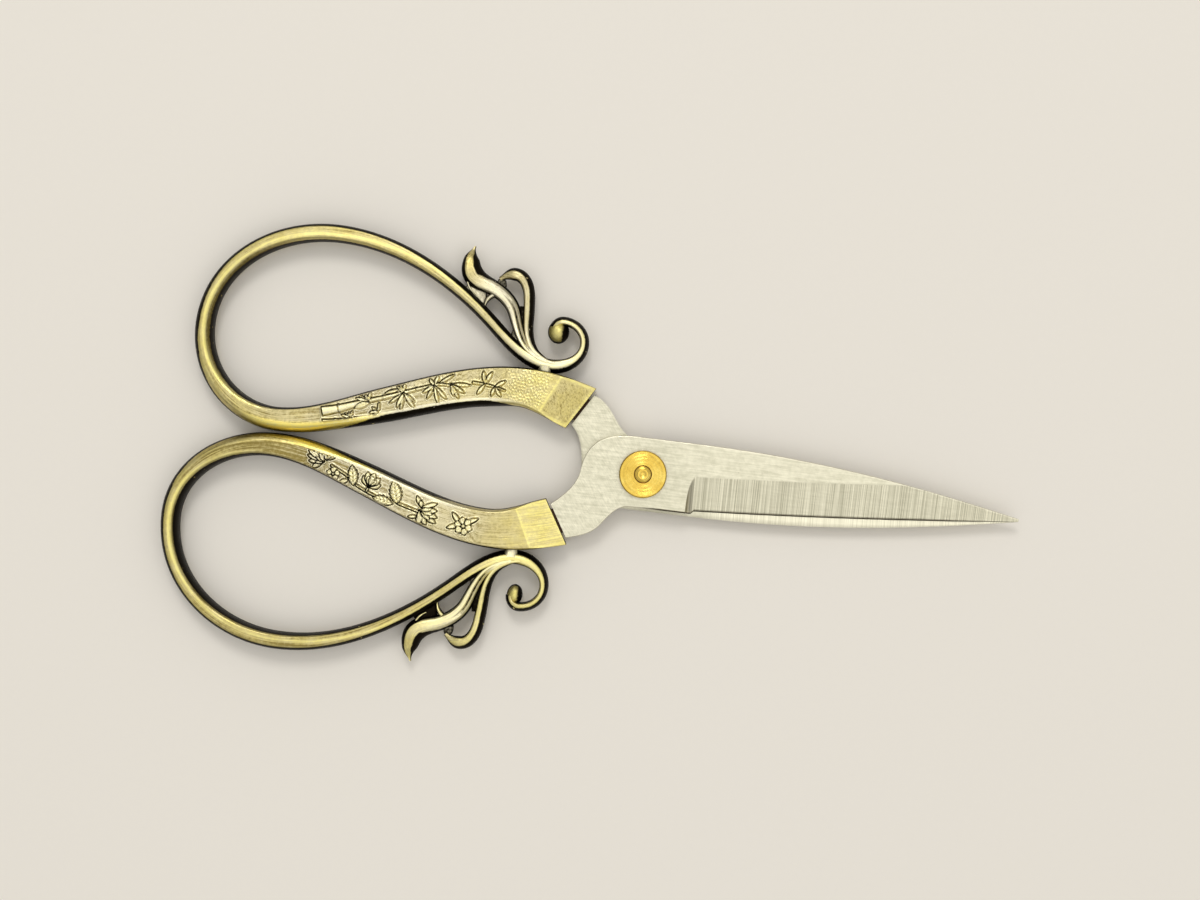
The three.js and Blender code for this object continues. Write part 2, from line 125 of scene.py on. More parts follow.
@dataclass
class Surface:
    """Closed surface on a grid, whose rows run along a piece and whose columns run round it."""

    points: Array  # rows x columns x 3, in millimetres
    along: Array  # distance of each row along the piece
    masks: dict[str, Array] = field(default_factory=dict)  # values at the points for the materials
    crease: float = 50.0  # angle in degrees past which an edge is left sharp

    def build(self, name: str) -> bpy.types.Object:
        """Make the mesh object: quads between rows, and a fan about the middle of the first and last row.

        Args:
            name: name of the piece.

        Returns:
            The object, at the origin, with its faces pointing outwards.
        """
        rows, columns, _ = self.points.shape
        vertices = np.concatenate([self.points.reshape(-1, 3), self.points[[0, -1]].mean(axis=1)])
        numbers = np.arange(rows * columns).reshape(rows, columns)
        ring = np.hstack([numbers, numbers[:, :1]])
        quads, fans = self._corners(ring, *np.repeat([[numbers.size], [numbers.size + 1]], columns, axis=1))
        steps = np.linalg.norm(np.diff(vertices[ring], axis=1), axis=2)
        around = np.hstack([np.zeros((rows, 1)), np.cumsum(steps, axis=1)])
        flow = np.dstack([np.broadcast_to(self.along[:, None], around.shape), around])
        quad_flow, fan_flow = self._corners(flow, flow[0, :-1], flow[-1, :-1])
        if self._volume(vertices, np.concatenate([quads[:, :3], quads[:, [0, 2, 3]], fans])) < 0:
            quads, fans = quads[:, ::-1], fans[:, ::-1]
            quad_flow, fan_flow = quad_flow[:, ::-1], fan_flow[:, ::-1]
        mesh = bpy.data.meshes.new(name)
        mesh.vertices.add(len(vertices))
        mesh.vertices.foreach_set("co", (vertices * METRES).astype(np.float32).ravel())
        corners = np.concatenate([quads.ravel(), fans.ravel()])
        mesh.loops.add(len(corners))
        mesh.loops.foreach_set("vertex_index", corners.astype(np.int32))
        starts = np.concatenate([np.arange(len(quads)) * 4, len(quads) * 4 + np.arange(len(fans)) * 3])
        mesh.polygons.add(len(starts))
        mesh.polygons.foreach_set("loop_start", starts.astype(np.int32))
        mesh.update(calc_edges=True)
        mesh.shade_smooth()
        mesh.set_sharp_from_angle(angle=math.radians(self.crease))
        texture = mesh.uv_layers.new(name="flow")
        placed = np.concatenate([quad_flow.reshape(-1, 2), fan_flow.reshape(-1, 2)]) * METRES
        texture.uv.foreach_set("vector", placed.astype(np.float32).ravel())
        for title, values in self.masks.items():
            flat = np.concatenate([values.ravel(), values[[0, -1]].mean(axis=1)])
            mask = mesh.attributes.new(title, "FLOAT", "POINT")
            mask.data.foreach_set("value", flat.astype(np.float32))
        piece = bpy.data.objects.new(name, mesh)
        bpy.context.scene.collection.objects.link(piece)
        return piece

    @staticmethod
    def _corners(grid: Array, first: Array, last: Array) -> tuple[Array, Array]:
        """Gather values at the corners of the faces.

        Args:
            grid: values at the points, with the first column once more at the end.
            first: values in the middle of the first row, one for each face of its fan.
            last: the same for the last row.

        Returns:
            Values at the corners of the quads between rows, and of the two fans.
        """
        quads = np.stack([grid[:-1, :-1], grid[:-1, 1:], grid[1:, 1:], grid[1:, :-1]], axis=2)
        first_fan = np.stack([first, grid[0, 1:], grid[0, :-1]], axis=1)
        last_fan = np.stack([last, grid[-1, :-1], grid[-1, 1:]], axis=1)
        return quads.reshape(-1, *quads.shape[2:]), np.concatenate([first_fan, last_fan])

    @staticmethod
    def _volume(vertices: Array, faces: Array) -> float:
        """Six times the volume in triangles, as tetrahedra to the origin: below 0 if they point in."""
        a, b, c = (vertices[faces[:, i]] for i in range(3))
        return float(np.einsum("ij,ij->i", a, np.cross(b, c)).sum())


@dataclass(frozen=True)
class Station:
    """One station of a strand: its place in the plane, its heading and its section's sizes and shades."""

    x: float
    y: float
    heading: float  # way of travel, in degrees
    half_width: float = 1.0  # half sizes of the section
    half_height: float = 1.0
    left: float = 0.5  # widths of the rounded shoulders, left and right of travel
    right: float = 0.5
    depth: float = 0.5  # depth of both shoulders
    left_dark: float = 0.4  # tilt of a shoulder, from 0 level to 1 upright, where the patina starts
    right_dark: float = 0.4
    polish_and_highlight: float = 0.5  # how bright the top is rubbed, from 0 deep to 1 bright; the mask of this name also takes the painted highlights
    silver: float = 0.0  # how pale the plain metal is; the mask also takes the paleness of painted highlights


class Course:
    """Flowing path through stations, with every size gliding from one station to the next.

    Each span is a cubic curve with the arms of a circular arc of the same turn. A size follows a cubic
    through its values that is level where they stop rising or falling.
    """

    SIZES = tuple(f.name for f in fields(Station) if f.name not in ("x", "y", "heading"))

    def __init__(self, stations: Sequence[Station], steps: Sequence[int]) -> None:
        """Work out the path.

        Args:
            stations: the stations in order.
            steps: number of rows in each span between them.
        """
        places = np.array([(s.x, s.y) for s in stations])
        headings = np.radians([s.heading for s in stations])
        ways = np.stack([np.cos(headings), np.sin(headings)], axis=1)
        span = np.append(np.repeat(np.arange(len(steps)), steps), len(steps) - 1)
        share = np.append(np.concatenate([np.arange(n) / n for n in steps]), 1.0)
        gaps = np.linalg.norm(np.diff(places, axis=0), axis=1)
        arms = (gaps / (3.0 * np.cos(np.diff(headings) / 4.0) ** 2))[:, None]
        leave = places[:-1] + ways[:-1] * arms
        arrive = places[1:] - ways[1:] * arms
        t = share[:, None]
        r = 1.0 - t
        start, end = places[span], places[span + 1]
        self.middle = start * r**3 + 3 * leave[span] * r * r * t + 3 * arrive[span] * r * t * t + end * t**3
        tangent = (leave - places[:-1])[span] * r * r
        tangent += 2 * (arrive - leave)[span] * r * t + (places[1:] - arrive)[span] * t * t
        self.tangent = tangent / np.linalg.norm(tangent, axis=1, keepdims=True)
        self.normal = np.stack([-self.tangent[:, 1], self.tangent[:, 0]], axis=1)
        self.length = running(self.middle)
        self.knots = self.length[np.concatenate([[0], np.cumsum(steps)])]
        self.sizes: dict[str, Array] = {}
        for name in self.SIZES:
            values = np.array([getattr(station, name) for station in stations])
            self.sizes[name] = self._glide(values, span, share)

    def _glide(self, values: Array, span: Array, share: Array) -> Array:
        """Value at each row: the cubic with the stations' values and slopes.

        Args:
            values: the size at each station.
            span: the span of each row.
            share: the row's share of its span.

        Returns:
            The size at each row.
        """
        rise = np.diff(values)
        slope = np.zeros(len(values))
        middle = (values[2:] - values[:-2]) / (self.knots[2:] - self.knots[:-2])
        slope[1:-1] = np.where(rise[:-1] * rise[1:] > 0, middle, 0.0)
        reach = np.diff(self.knots)[span]
        rest = 1.0 - share
        ends = values[span] * (1 + 2 * share) * rest**2 + values[span + 1] * (3 - 2 * share) * share**2
        return ends + reach * share * rest * (slope[span] * rest - slope[span + 1] * share)

    def even(self, count: int) -> Array:
        """Points at even distances along the path."""
        want = np.linspace(0.0, self.length[-1], count)
        return np.stack([np.interp(want, self.length, self.middle[:, i]) for i in range(2)], axis=1)


class Strip:
    """A strand on its grid, while its relief, cuts and shades are worked out.

    A row is a ring round the section: left shoulder, front face, right shoulder, right side, back, left
    side. The shoulders are quarters of ellipses, and straight stretches join them. Each point has its
    distance across to the left of the path, its height, and its tilt from level, positive on the left.
    """

    SHOULDER, SIDE, BACK_SHOULDER, BACK = 8, 2, 5, 3  # columns of each, the first shoulder in front

    def __init__(self, course: Course, face: int) -> None:
        """Lay the rings out.

        Args:
            course: the path with its sizes.
            face: columns across the front face, between its shoulders.
        """
        self.course = course
        self.along = course.length[:, None]
        self.front = slice(self.SHOULDER, self.SHOULDER + face)
        self.masks: dict[str, Array] = {}
        names = ("half_width", "left", "right", "half_height", "depth")
        half, left, right, rise, depth = map(self.size, names)
        left_at, right_at, flank = half - left, right - half, rise - depth
        parts = [
            self._corner(self.SHOULDER, 0, left_at, left, flank, depth),
            self._run(face, left_at, right_at, rise, rise, 0.0),
            self._corner(self.SHOULDER, 1, right_at, right, flank, depth),
            self._run(self.SIDE, -half, -half, flank, -flank, -1.0),
            self._corner(self.BACK_SHOULDER, 2, right_at, right, -flank, depth),
            self._run(self.BACK, right_at, left_at, -rise, -rise, 0.0),
            self._corner(self.BACK_SHOULDER, 3, left_at, left, -flank, depth),
            self._run(self.SIDE, half, half, -flank, flank, 1.0),
        ]
        self.across, self.height, self.tilt = (np.hstack(values) for values in zip(*parts))

    @staticmethod
    def _corner(count: int, quarter: int, inset: Array, width: Array, middle: Array, depth: Array) -> Ring:
        """Shoulder: a quarter of an ellipse.

        Args:
            count: number of columns.
            quarter: quarter of the turn, from 0 on the left in front to 3 on the left behind.
            inset: place of the ellipse's middle to the left of the path.
            width: the shoulder's width.
            middle: height of the ellipse's middle.
            depth: the shoulder's depth.

        Returns:
            Distance to the left, height and tilt of its points.
        """
        angle = (quarter + np.linspace(0.0, 1.0, count)[None, :]) * math.pi / 2
        across = inset + width * np.cos(angle)
        tilt = (1.0 - np.abs(np.sin(angle))) * (1.0 if quarter in (0, 3) else -1.0)
        return across, middle + depth * np.sin(angle), np.broadcast_to(tilt, across.shape)

    @staticmethod
    def _run(count: int, start: Array, end: Array, low: Array, high: Array, tilt: float) -> Ring:
        """Straight stretch of one tilt between two shoulders, without its ends: even shares of the way."""
        share = (np.arange(count)[None, :] + 1.0) / (count + 1.0) * np.ones_like(start)
        return start + (end - start) * share, low + (high - low) * share, np.full(share.shape, tilt)

    def size(self, name: str) -> Array:
        """A size of the course, as a column."""
        return self.course.sizes[name][:, None]

    def add(self, name: str, value: Array | float) -> None:
        """Add to a mask."""
        self.masks[name] = self.masks[name] + value

    def darken(self, value: Array) -> None:
        """Raise the patina and painted shade where they are below a value."""
        self.masks["patina"] = np.maximum(self.masks["patina"], value)

    def margins(self) -> tuple[Array, Array]:
        """Distance of each point from the start of the left shoulder, and of the right one."""
        half = self.size("half_width")
        return half - self.size("left") - self.across, self.across + half - self.size("right")

    def plan(self) -> Array:
        """Places in the plane: the middle of the path, and the distance across along its normal."""
        return self.course.middle[:, None, :] + self.course.normal[:, None, :] * self.across[:, :, None]

    def surface(self, plan: Array) -> Surface:
        """The surface over places in the plane."""
        return Surface(np.dstack([plan, self.height]), self.course.length, self.masks)


@dataclass(frozen=True)
class Lens:
    """Leaf or petal of the relief, pointed at both ends; places are along and across the limb."""

    base: Point
    tip: Point
    half_width: float
    fullness: float = 0.5  # share of the length where it is widest
    veins: int = 0  # number of teeth on each side and of side veins

    TAPER = 0.8  # power of the sine that shapes the outline
    TOOTH = 0.28  # share of the half width that a tooth takes
    CREASE = 0.4  # depth of the midrib and of the veins
    RIB = 0.07  # half width of the midrib
    LEAN = 0.9  # how far a vein runs ahead towards the border, in spaces between veins
    THINNEST = 0.02  # half width below which the top is flat

    def press(self, s: Array, v: Array) -> tuple[Array, Array]:
        """Depth inside the outline and height of the top.

        The half width follows a sine of the share of the length, warped so that it peaks at the
        fullness. The top is an ellipse across with a crease along the middle and along the veins.

        Args:
            s: place along the limb.
            v: place across the limb.

        Returns:
            Depth inside, below 0 outside, and the height of the top from 0 to 1.
        """
        reach = np.subtract(self.tip, self.base)
        length = float(np.hypot(*reach))
        ahead = ((s - self.base[0]) * reach[0] + (v - self.base[1]) * reach[1]) / length**2
        aside = ((v - self.base[1]) * reach[0] - (s - self.base[0]) * reach[1]) / length
        share = np.clip(ahead, 0.0, 1.0)
        warp = math.log(0.5) / math.log(self.fullness)
        half = self.half_width * np.sin(math.pi * share**warp) ** self.TAPER
        if self.veins:
            half = half * (1.0 - self.TOOTH + self.TOOTH * (self.veins * share % 1.0))
        inside = half - np.hypot(aside, np.abs(ahead - share) * length)
        ratio = np.clip(np.abs(aside) / np.maximum(half, self.THINNEST), 0.0, 1.0)
        crown = np.sqrt(1.0 - DOME * ratio**2) - self.CREASE * bell(aside, self.RIB)
        if self.veins:
            comb = np.cos(TURN * (self.veins * share - self.LEAN * ratio))
            crown = crown - self.CREASE * smooth(0.5, 1.0, comb)
        return inside, crown


@dataclass(frozen=True)
class Cane:
    """Stem or bamboo cane of the relief: a rounded ridge through points, with rings at its nodes."""

    points: tuple[Point, ...]
    radius: Point  # half width at the start and at the end
    nodes: tuple[float, ...] = ()  # places of the rings along the limb
    cut: bool = False  # whether its last end is cut off square

    RING = (0.16, 0.35)  # half length of a node's ring, and how much it swells
    SCAR = (0.2, 0.07, 0.6)  # place beyond it, half length and depth of the node's line

    def press(self, s: Array, v: Array) -> tuple[Array, Array]:
        """Depth inside the outline and height of the top.

        The depth is the half width less the distance to the line through the points. The half
        width runs evenly from start to end and swells at each ring.

        Args:
            s: place along the limb.
            v: place across the limb.

        Returns:
            Depth inside, below 0 outside, and the height of the top from 0 to 1.
        """
        near = np.full(s.shape, np.inf)
        for (s0, v0), (s1, v1) in zip(self.points[:-1], self.points[1:]):
            length = math.hypot(s1 - s0, v1 - v0)
            share = np.clip(((s - s0) * (s1 - s0) + (v - v0) * (v1 - v0)) / length**2, 0.0, 1.0)
            near = np.minimum(near, np.hypot(s - s0 - share * (s1 - s0), v - v0 - share * (v1 - v0)))
        start, end = self.points[0][0], self.points[-1][0]
        whole = np.clip((s - start) / (end - start if end != start else 1.0), 0.0, 1.0)
        half = self.radius[0] + (self.radius[1] - self.radius[0]) * whole
        crown = np.sqrt(1.0 - DOME * np.clip(near / half, 0.0, 1.0) ** 2)
        ring, swell = self.RING
        beyond, scar, depth = self.SCAR
        for node in self.nodes:
            half = half * (1.0 + swell * bell(s - node, ring))
            crown = crown - depth * bell(s - node - beyond, scar)
        inside = half - near
        return (np.minimum(inside, end - s) if self.cut else inside), crown


Motif = Lens | Cane


def fan(base: Point, tips: Sequence[Point], half_width: float, fullness: float = 0.55) -> list[Motif]:
    """Leaves or petals from one root to each of the tips."""
    return [Lens(base, tip, half_width, fullness) for tip in tips]


def rosette(middle: Point, radius: float, petals: int, turn: float) -> list[Motif]:
    """Open flower: a row of petals about a round heart.

    Args:
        middle: place of the flower along and across the limb.
        radius: reach of the petals.
        petals: their number.
        turn: angle of the first petal in degrees.

    Returns:
        The petals and the heart.
    """
    breadth, fullness, heart = 2.3 * radius / petals, 0.7, 0.2 * radius
    ways = [way(turn + 360.0 * petal / petals) for petal in range(petals)]
    tips = [(middle[0] + radius * east, middle[1] + radius * north) for east, north in ways]
    heart_end = (middle[0] + 0.02, middle[1])
    return [*fan(middle, tips, breadth, fullness), Cane((middle, heart_end), (heart, heart))]


@dataclass(frozen=True)
class Relief:
    """Raised ornament on the front of a limb, pressed in order so that later motifs lie on earlier ones."""

    motifs: tuple[Motif, ...]
    dark: float  # patina of the grooves, with painted shade on their side away from the light
    fade: float  # share of that dark lost on the lit side
    stipple: Point | None = None  # start and end along the limb of a worm-like ground
    ground: float = 0.28  # depth of the ground below the front face
    groove: float = 0.12  # depth of the line round each motif, below the ground
    shade_way: Point = (0.5, -0.87)  # the way to the side of painted shade, along and across the limb
    seed: int = 7

    WAVES = 13  # number, length and height of the stipple's waves
    WAVE_LENGTH = 0.5
    WAVE_HEIGHT = 0.05
    STIPPLE_ENDS = (1.0, 0.8)  # lengths over which the stipple fades
    FLANK = (-0.03, 0.05)  # depths inside the outline between which a motif rises
    LINE = (0.09, 0.1)  # distance of the groove outside the outline, and its half width
    BURR = (0.31, 0.09, 0.06)  # distance, half width and height of the burr
    PROBE = (0.05, 0.03)  # step that finds the side of a motif where shade is painted, and a clear change over it
    LOWEST = 0.2  # lowest top of a motif, in depths of the ground
    LINE_TONE = (0.2, 0.75)  # share of the groove where patina starts and is full
    CREASE_TONE = (0.65, 0.3)  # the same for the height of a motif's top
    DEEPEST = 1.4  # deepest point, in grooves

    def stippled(self, s: Array) -> Array:
        """Share of stipple at places along the limb, fading at both ends."""
        start, stop = self.stipple or (0.0, 0.0)
        return smooth(start, start + self.STIPPLE_ENDS[0], s) * smooth(stop, stop - self.STIPPLE_ENDS[1], s)

    def _worms(self, s: Array, v: Array) -> Array:
        """Height of the stipple: a squashed sum of sine waves of one length, whose ways fill a half turn.

        Args:
            s: place along the limb.
            v: place across the limb.

        Returns:
            The heights in millimetres.
        """
        draws = np.random.default_rng(self.seed)
        angles = (np.arange(self.WAVES) + draws.uniform(0.2, 0.8, self.WAVES)) * math.pi / self.WAVES
        phases = draws.uniform(0.0, TURN, self.WAVES)
        number = TURN / self.WAVE_LENGTH
        waves = (np.sin(number * (s * math.cos(a) + v * math.sin(a)) + p) for a, p in zip(angles, phases))
        return self.WAVE_HEIGHT * np.tanh(sum(waves) / math.sqrt(self.WAVES)) * self.stippled(s)

    def press(self, s: Array, v: Array) -> tuple[Array, Array]:
        """Height over the ground: each motif's top inside its outline, a groove just outside and a low burr.

        Args:
            s: place along the limb.
            v: place across the limb, positive on the inner side.

        Returns:
            Heights in millimetres, and the patina of the lines with their painted shade.
        """
        level = self._worms(s, v) if self.stipple else np.zeros(s.shape)
        lines = np.zeros(s.shape)
        line_off, line_width = self.LINE
        burr_off, burr_width, burr_height = self.BURR
        step, clear = self.PROBE
        for motif in self.motifs:
            inside, crown = motif.press(s, v)
            within = smooth(*self.FLANK, inside)
            line = bell(inside + line_off, line_width)
            # painted shade: lines stay dark on the side away from the light and fade on the lit side
            nearer = motif.press(s - step * self.shade_way[0], v - step * self.shade_way[1])[0] - inside
            side_shade = 1.0 - self.fade * smooth(clear, -clear, nearer)
            burr = burr_height * bell(inside + burr_off, burr_width)
            crown = np.clip(crown, self.LOWEST, 1.0)
            level = (level - self.groove * line + burr) * (1.0 - within) + within * self.ground * crown
            lines = np.maximum(lines, side_shade * smooth(*self.LINE_TONE, line)) * (1.0 - within)
            lines = lines + within * smooth(*self.CREASE_TONE, crown)
        return np.clip(level, -self.DEEPEST * self.groove, self.ground), self.dark * lines


@dataclass(frozen=True)
class NodeTree:
    """Short forms for adding nodes to a shader tree and joining their sockets."""

    tree: bpy.types.NodeTree

    def add(self, kind: str, inputs: dict | None = None, **settings: object) -> Node:
        """Add a node.

        Args:
            kind: Blender's name for the node.
            inputs: values or sockets for its inputs, by name or number.
            settings: its properties.

        Returns:
            The node.
        """
        node = self.tree.nodes.new(kind)
        for name, value in settings.items():
            setattr(node, name, value)
        for key, value in (inputs or {}).items():
            if isinstance(value, Socket):
                self.tree.links.new(value, node.inputs[key])
            else:
                node.inputs[key].default_value = value
        return node

    def link(self, value: Socket, node: Node, name: str) -> None:
        """Join a socket to an input of a node."""
        self.tree.links.new(value, node.inputs[name])

    def math(self, operation: str, *values: object) -> Socket:
        """Result of a Math node on up to three values or sockets."""
        return self.add("ShaderNodeMath", dict(enumerate(values)), operation=operation).outputs[0]

    def gain(self, value: Socket, factor: object, offset: object) -> Socket:
        """Value times a factor plus an offset."""
        return self.math("MULTIPLY_ADD", value, factor, offset)

    def mix(self, share: object, first: object, second: object) -> Socket:
        """Colour between two colours."""
        return self.add("ShaderNodeMix", {0: share, 6: first, 7: second}, data_type="RGBA").outputs[2]

    def blend(self, share: object, first: object, second: object) -> Socket:
        """Value between two values."""
        return self.add("ShaderNodeMix", {0: share, 2: first, 3: second}).outputs[0]

    def ramp(self, value: object, low: float, high: float, start: float = 0.0, end: float = 1.0) -> Socket:
        """Value carried from one range to another by a smooth step."""
        inputs = {0: value, 1: low, 2: high, 3: start, 4: end}
        return self.add("ShaderNodeMapRange", inputs, interpolation_type="SMOOTHSTEP").outputs[0]

    def noise(self, vector: object, scale: object, detail: float = 3.0, roughness: float = 0.55) -> Socket:
        """Value of a noise texture."""
        inputs = {"Vector": vector, "Scale": scale, "Detail": detail, "Roughness": roughness}
        return self.add("ShaderNodeTexNoise", inputs).outputs[0]

    def place(self) -> Socket:
        """Place of a point in the part, in metres."""
        return self.add("ShaderNodeTexCoord").outputs["Object"]

    def turned(self, vector: object, degrees: float) -> Socket:
        """Place turned about the upright axis."""
        inputs = {"Vector": vector, "Rotation": (0.0, 0.0, math.radians(degrees))}
        return self.add("ShaderNodeMapping", inputs).outputs[0]

    def attribute(self, name: str) -> Socket:
        """Value of a mask of the mesh."""
        return self.add("ShaderNodeAttribute", attribute_name=name).outputs["Fac"]


class Groups:
    """Shader node groups for the effects that several finishes share, each built once."""

    LAYERS = (1.0, 2.7, 6.1)  # fineness of the layers of a brushing
    LAYER_POWER = 0.4  # power of the fineness by which they are shorter too
    STREAKS = (0.38, 0.24)  # shares of the broad layers and of the fine one
    STREAK_RANGE = (0.3, 0.7)
    SCRATCHES = (0.45, 0.55)  # shares of the middle and of the fine layer
    SCRATCH_RANGE = (0.25, 0.75)
    SPECKS = (1900.0, 4.0, 0.65)  # scale per metre, detail and roughness of the wear
    CHIPS = (1300.0, 1.0)  # scale and detail of the bare chips
    CHIP_RANGE = (0.73, 0.78)
    CHIPPED = (0.75, 0.92)  # deposit at which chips start and are full
    BROKEN = 0.8  # how much the specks break the deposit's border
    COVER_RANGE = (0.25, 0.7)
    WORN = 0.75  # how much the specks change the polish
    PLAIN_POLISH = 0.5  # polish of the plain metal
    CLOUD_DETAIL = 3.0
    CLOUD_RANGE = (0.3, 0.7)
    GRAIN_DETAIL = 2.0

    def __init__(self) -> None:
        """Build the groups."""
        self.brushing = self._brushing()
        self.patina = self._patina()
        self.mottling = self._mottling()

    @staticmethod
    def _start(
        name: str, inputs: dict[str, Kind], outputs: dict[str, Kind]
    ) -> tuple[NodeTree, dict[str, Socket], Node]:
        """New group with named sockets.

        Args:
            name: name of the group.
            inputs: kind of socket for each input.
            outputs: kind of socket for each output.

        Returns:
            The tree, the sockets that it is given and the node of its outputs.
        """
        tree = bpy.data.node_groups.new(name, "ShaderNodeTree")
        for sockets, way_through in ((inputs, "INPUT"), (outputs, "OUTPUT")):
            for title, kind in sockets.items():
                tree.interface.new_socket(title, in_out=way_through, socket_type=kind.value)
        nodes = NodeTree(tree)
        given = nodes.add("NodeGroupInput").outputs
        return nodes, {title: given[title] for title in inputs}, nodes.add("NodeGroupOutput")

    def _brushing(self) -> bpy.types.NodeTree:
        """Long streaks and fine scratches along the first axis of a pattern.

        Returns:
            The group.
        """
        nodes, given, result = self._start(
            "brushing",
            {"Vector": Kind.VECTOR, "Along": Kind.VALUE, "Across": Kind.VALUE},
            {"Streaks": Kind.VALUE, "Scratches": Kind.VALUE},
        )
        layers = []
        for finer in self.LAYERS:
            across = nodes.math("MULTIPLY", given["Across"], finer)
            along = nodes.math("MULTIPLY", given["Along"], finer**self.LAYER_POWER)
            stretch = nodes.add("ShaderNodeCombineXYZ", {0: along, 1: across, 2: along}).outputs[0]
            inputs = {0: given["Vector"], 1: stretch}
            vector = nodes.add("ShaderNodeVectorMath", inputs, operation="MULTIPLY").outputs[0]
            layers.append(nodes.noise(vector, 1.0, 0.0))
        broad, middle, fine = layers
        most, least = self.STREAKS
        streaks = nodes.gain(nodes.math("ADD", broad, middle), most, nodes.math("MULTIPLY", fine, least))
        nodes.link(nodes.ramp(streaks, *self.STREAK_RANGE), result, "Streaks")
        coarser, finer = self.SCRATCHES
        scratches = nodes.gain(middle, coarser, nodes.math("MULTIPLY", fine, finer))
        nodes.link(nodes.ramp(scratches, *self.SCRATCH_RANGE), result, "Scratches")
        return nodes.tree

    def _patina(self) -> bpy.types.NodeTree:
        """Dark deposit and painted shade, with a broken border and a few bare chips, over a metal with
        rubbed bright places and painted highlights.

        Returns:
            The group.
        """
        colours = dict.fromkeys(("Deep", "Plain", "Rubbed", "Dark"), Kind.COLOUR)
        nodes, given, result = self._start(
            "patina",
            {"Vector": Kind.VECTOR, "Deposit": Kind.VALUE, "Polish": Kind.VALUE, **colours},
            {"Color": Kind.COLOUR, "Cover": Kind.VALUE},
        )
        specks = nodes.math("SUBTRACT", nodes.noise(given["Vector"], *self.SPECKS), 0.5)
        broken = nodes.gain(specks, self.BROKEN, given["Deposit"])
        chips = nodes.ramp(nodes.noise(given["Vector"], *self.CHIPS), *self.CHIP_RANGE)
        chips = nodes.math("MULTIPLY", chips, nodes.ramp(given["Deposit"], *self.CHIPPED))
        cover = nodes.ramp(nodes.math("SUBTRACT", broken, chips), *self.COVER_RANGE)
        worn = nodes.gain(specks, self.WORN, given["Polish"])
        metal = nodes.mix(nodes.ramp(worn, 0.0, self.PLAIN_POLISH), given["Deep"], given["Plain"])
        metal = nodes.mix(nodes.ramp(worn, self.PLAIN_POLISH, 1.0), metal, given["Rubbed"])
        nodes.link(nodes.mix(cover, metal, given["Dark"]), result, "Color")
        nodes.link(cover, result, "Cover")
        return nodes.tree

    def _mottling(self) -> bpy.types.NodeTree:
        """Cloudy change of tone, and the fine grain of a surface.

        Returns:
            The group.
        """
        nodes, given, result = self._start(
            "mottling",
            {"Vector": Kind.VECTOR, "Clouds": Kind.VALUE, "Grain": Kind.VALUE},
            {"Tone": Kind.VALUE, "Grain": Kind.VALUE},
        )
        clouds = nodes.noise(given["Vector"], given["Clouds"], self.CLOUD_DETAIL)
        nodes.link(nodes.ramp(clouds, *self.CLOUD_RANGE), result, "Tone")
        nodes.link(nodes.noise(given["Vector"], given["Grain"], self.GRAIN_DETAIL), result, "Grain")
        return nodes.tree


@dataclass(frozen=True)
class Finish:
    """A metal finish of the part; each kind wires its own nodes. Scales of noise are per metre."""

    groups: Groups

    def start(self, name: str) -> tuple[Material, NodeTree, Node]:
        """New material with a metal shader.

        Args:
            name: name of the material.

        Returns:
            The material, its nodes and the shader.
        """
        material = bpy.data.materials.new(name)
        material.use_nodes = True
        shader = material.node_tree.nodes["Principled BSDF"]
        shader.inputs["Metallic"].default_value = 1.0
        return material, NodeTree(material.node_tree), shader

    def brushed(self, nodes: NodeTree, vector: Socket, scale: Point) -> Node:
        """Brushing along the first axis of a vector, with its scales along and across."""
        inputs = {"Vector": vector, "Along": scale[0], "Across": scale[1]}
        return nodes.add("ShaderNodeGroup", inputs, node_tree=self.groups.brushing)

    def mottled(self, nodes: NodeTree, vector: Socket, scale: Point) -> Node:
        """Mottling with the scales of its clouds and of its grain."""
        inputs = {"Vector": vector, "Clouds": scale[0], "Grain": scale[1]}
        return nodes.add("ShaderNodeGroup", inputs, node_tree=self.groups.mottling)

    def aged(self, nodes: NodeTree, place: Socket, polish_and_highlight: Socket, **colours: object) -> Node:
        """Patina and painted shade by their mask over a metal rubbed and given painted highlights by its
        polish: Deep, Plain and Rubbed below, Dark above.
        """
        inputs = {"Vector": place, "Deposit": nodes.attribute("patina"), "Polish": polish_and_highlight, **colours}
        return nodes.add("ShaderNodeGroup", inputs, node_tree=self.groups.patina)

    def bump(self, nodes: NodeTree, height: Socket, depth: float) -> Socket:
        """Normal of a bump of a depth in metres."""
        inputs = {"Height": height, "Distance": depth, "Strength": 1.0}
        return nodes.add("ShaderNodeBump", inputs).outputs[0]


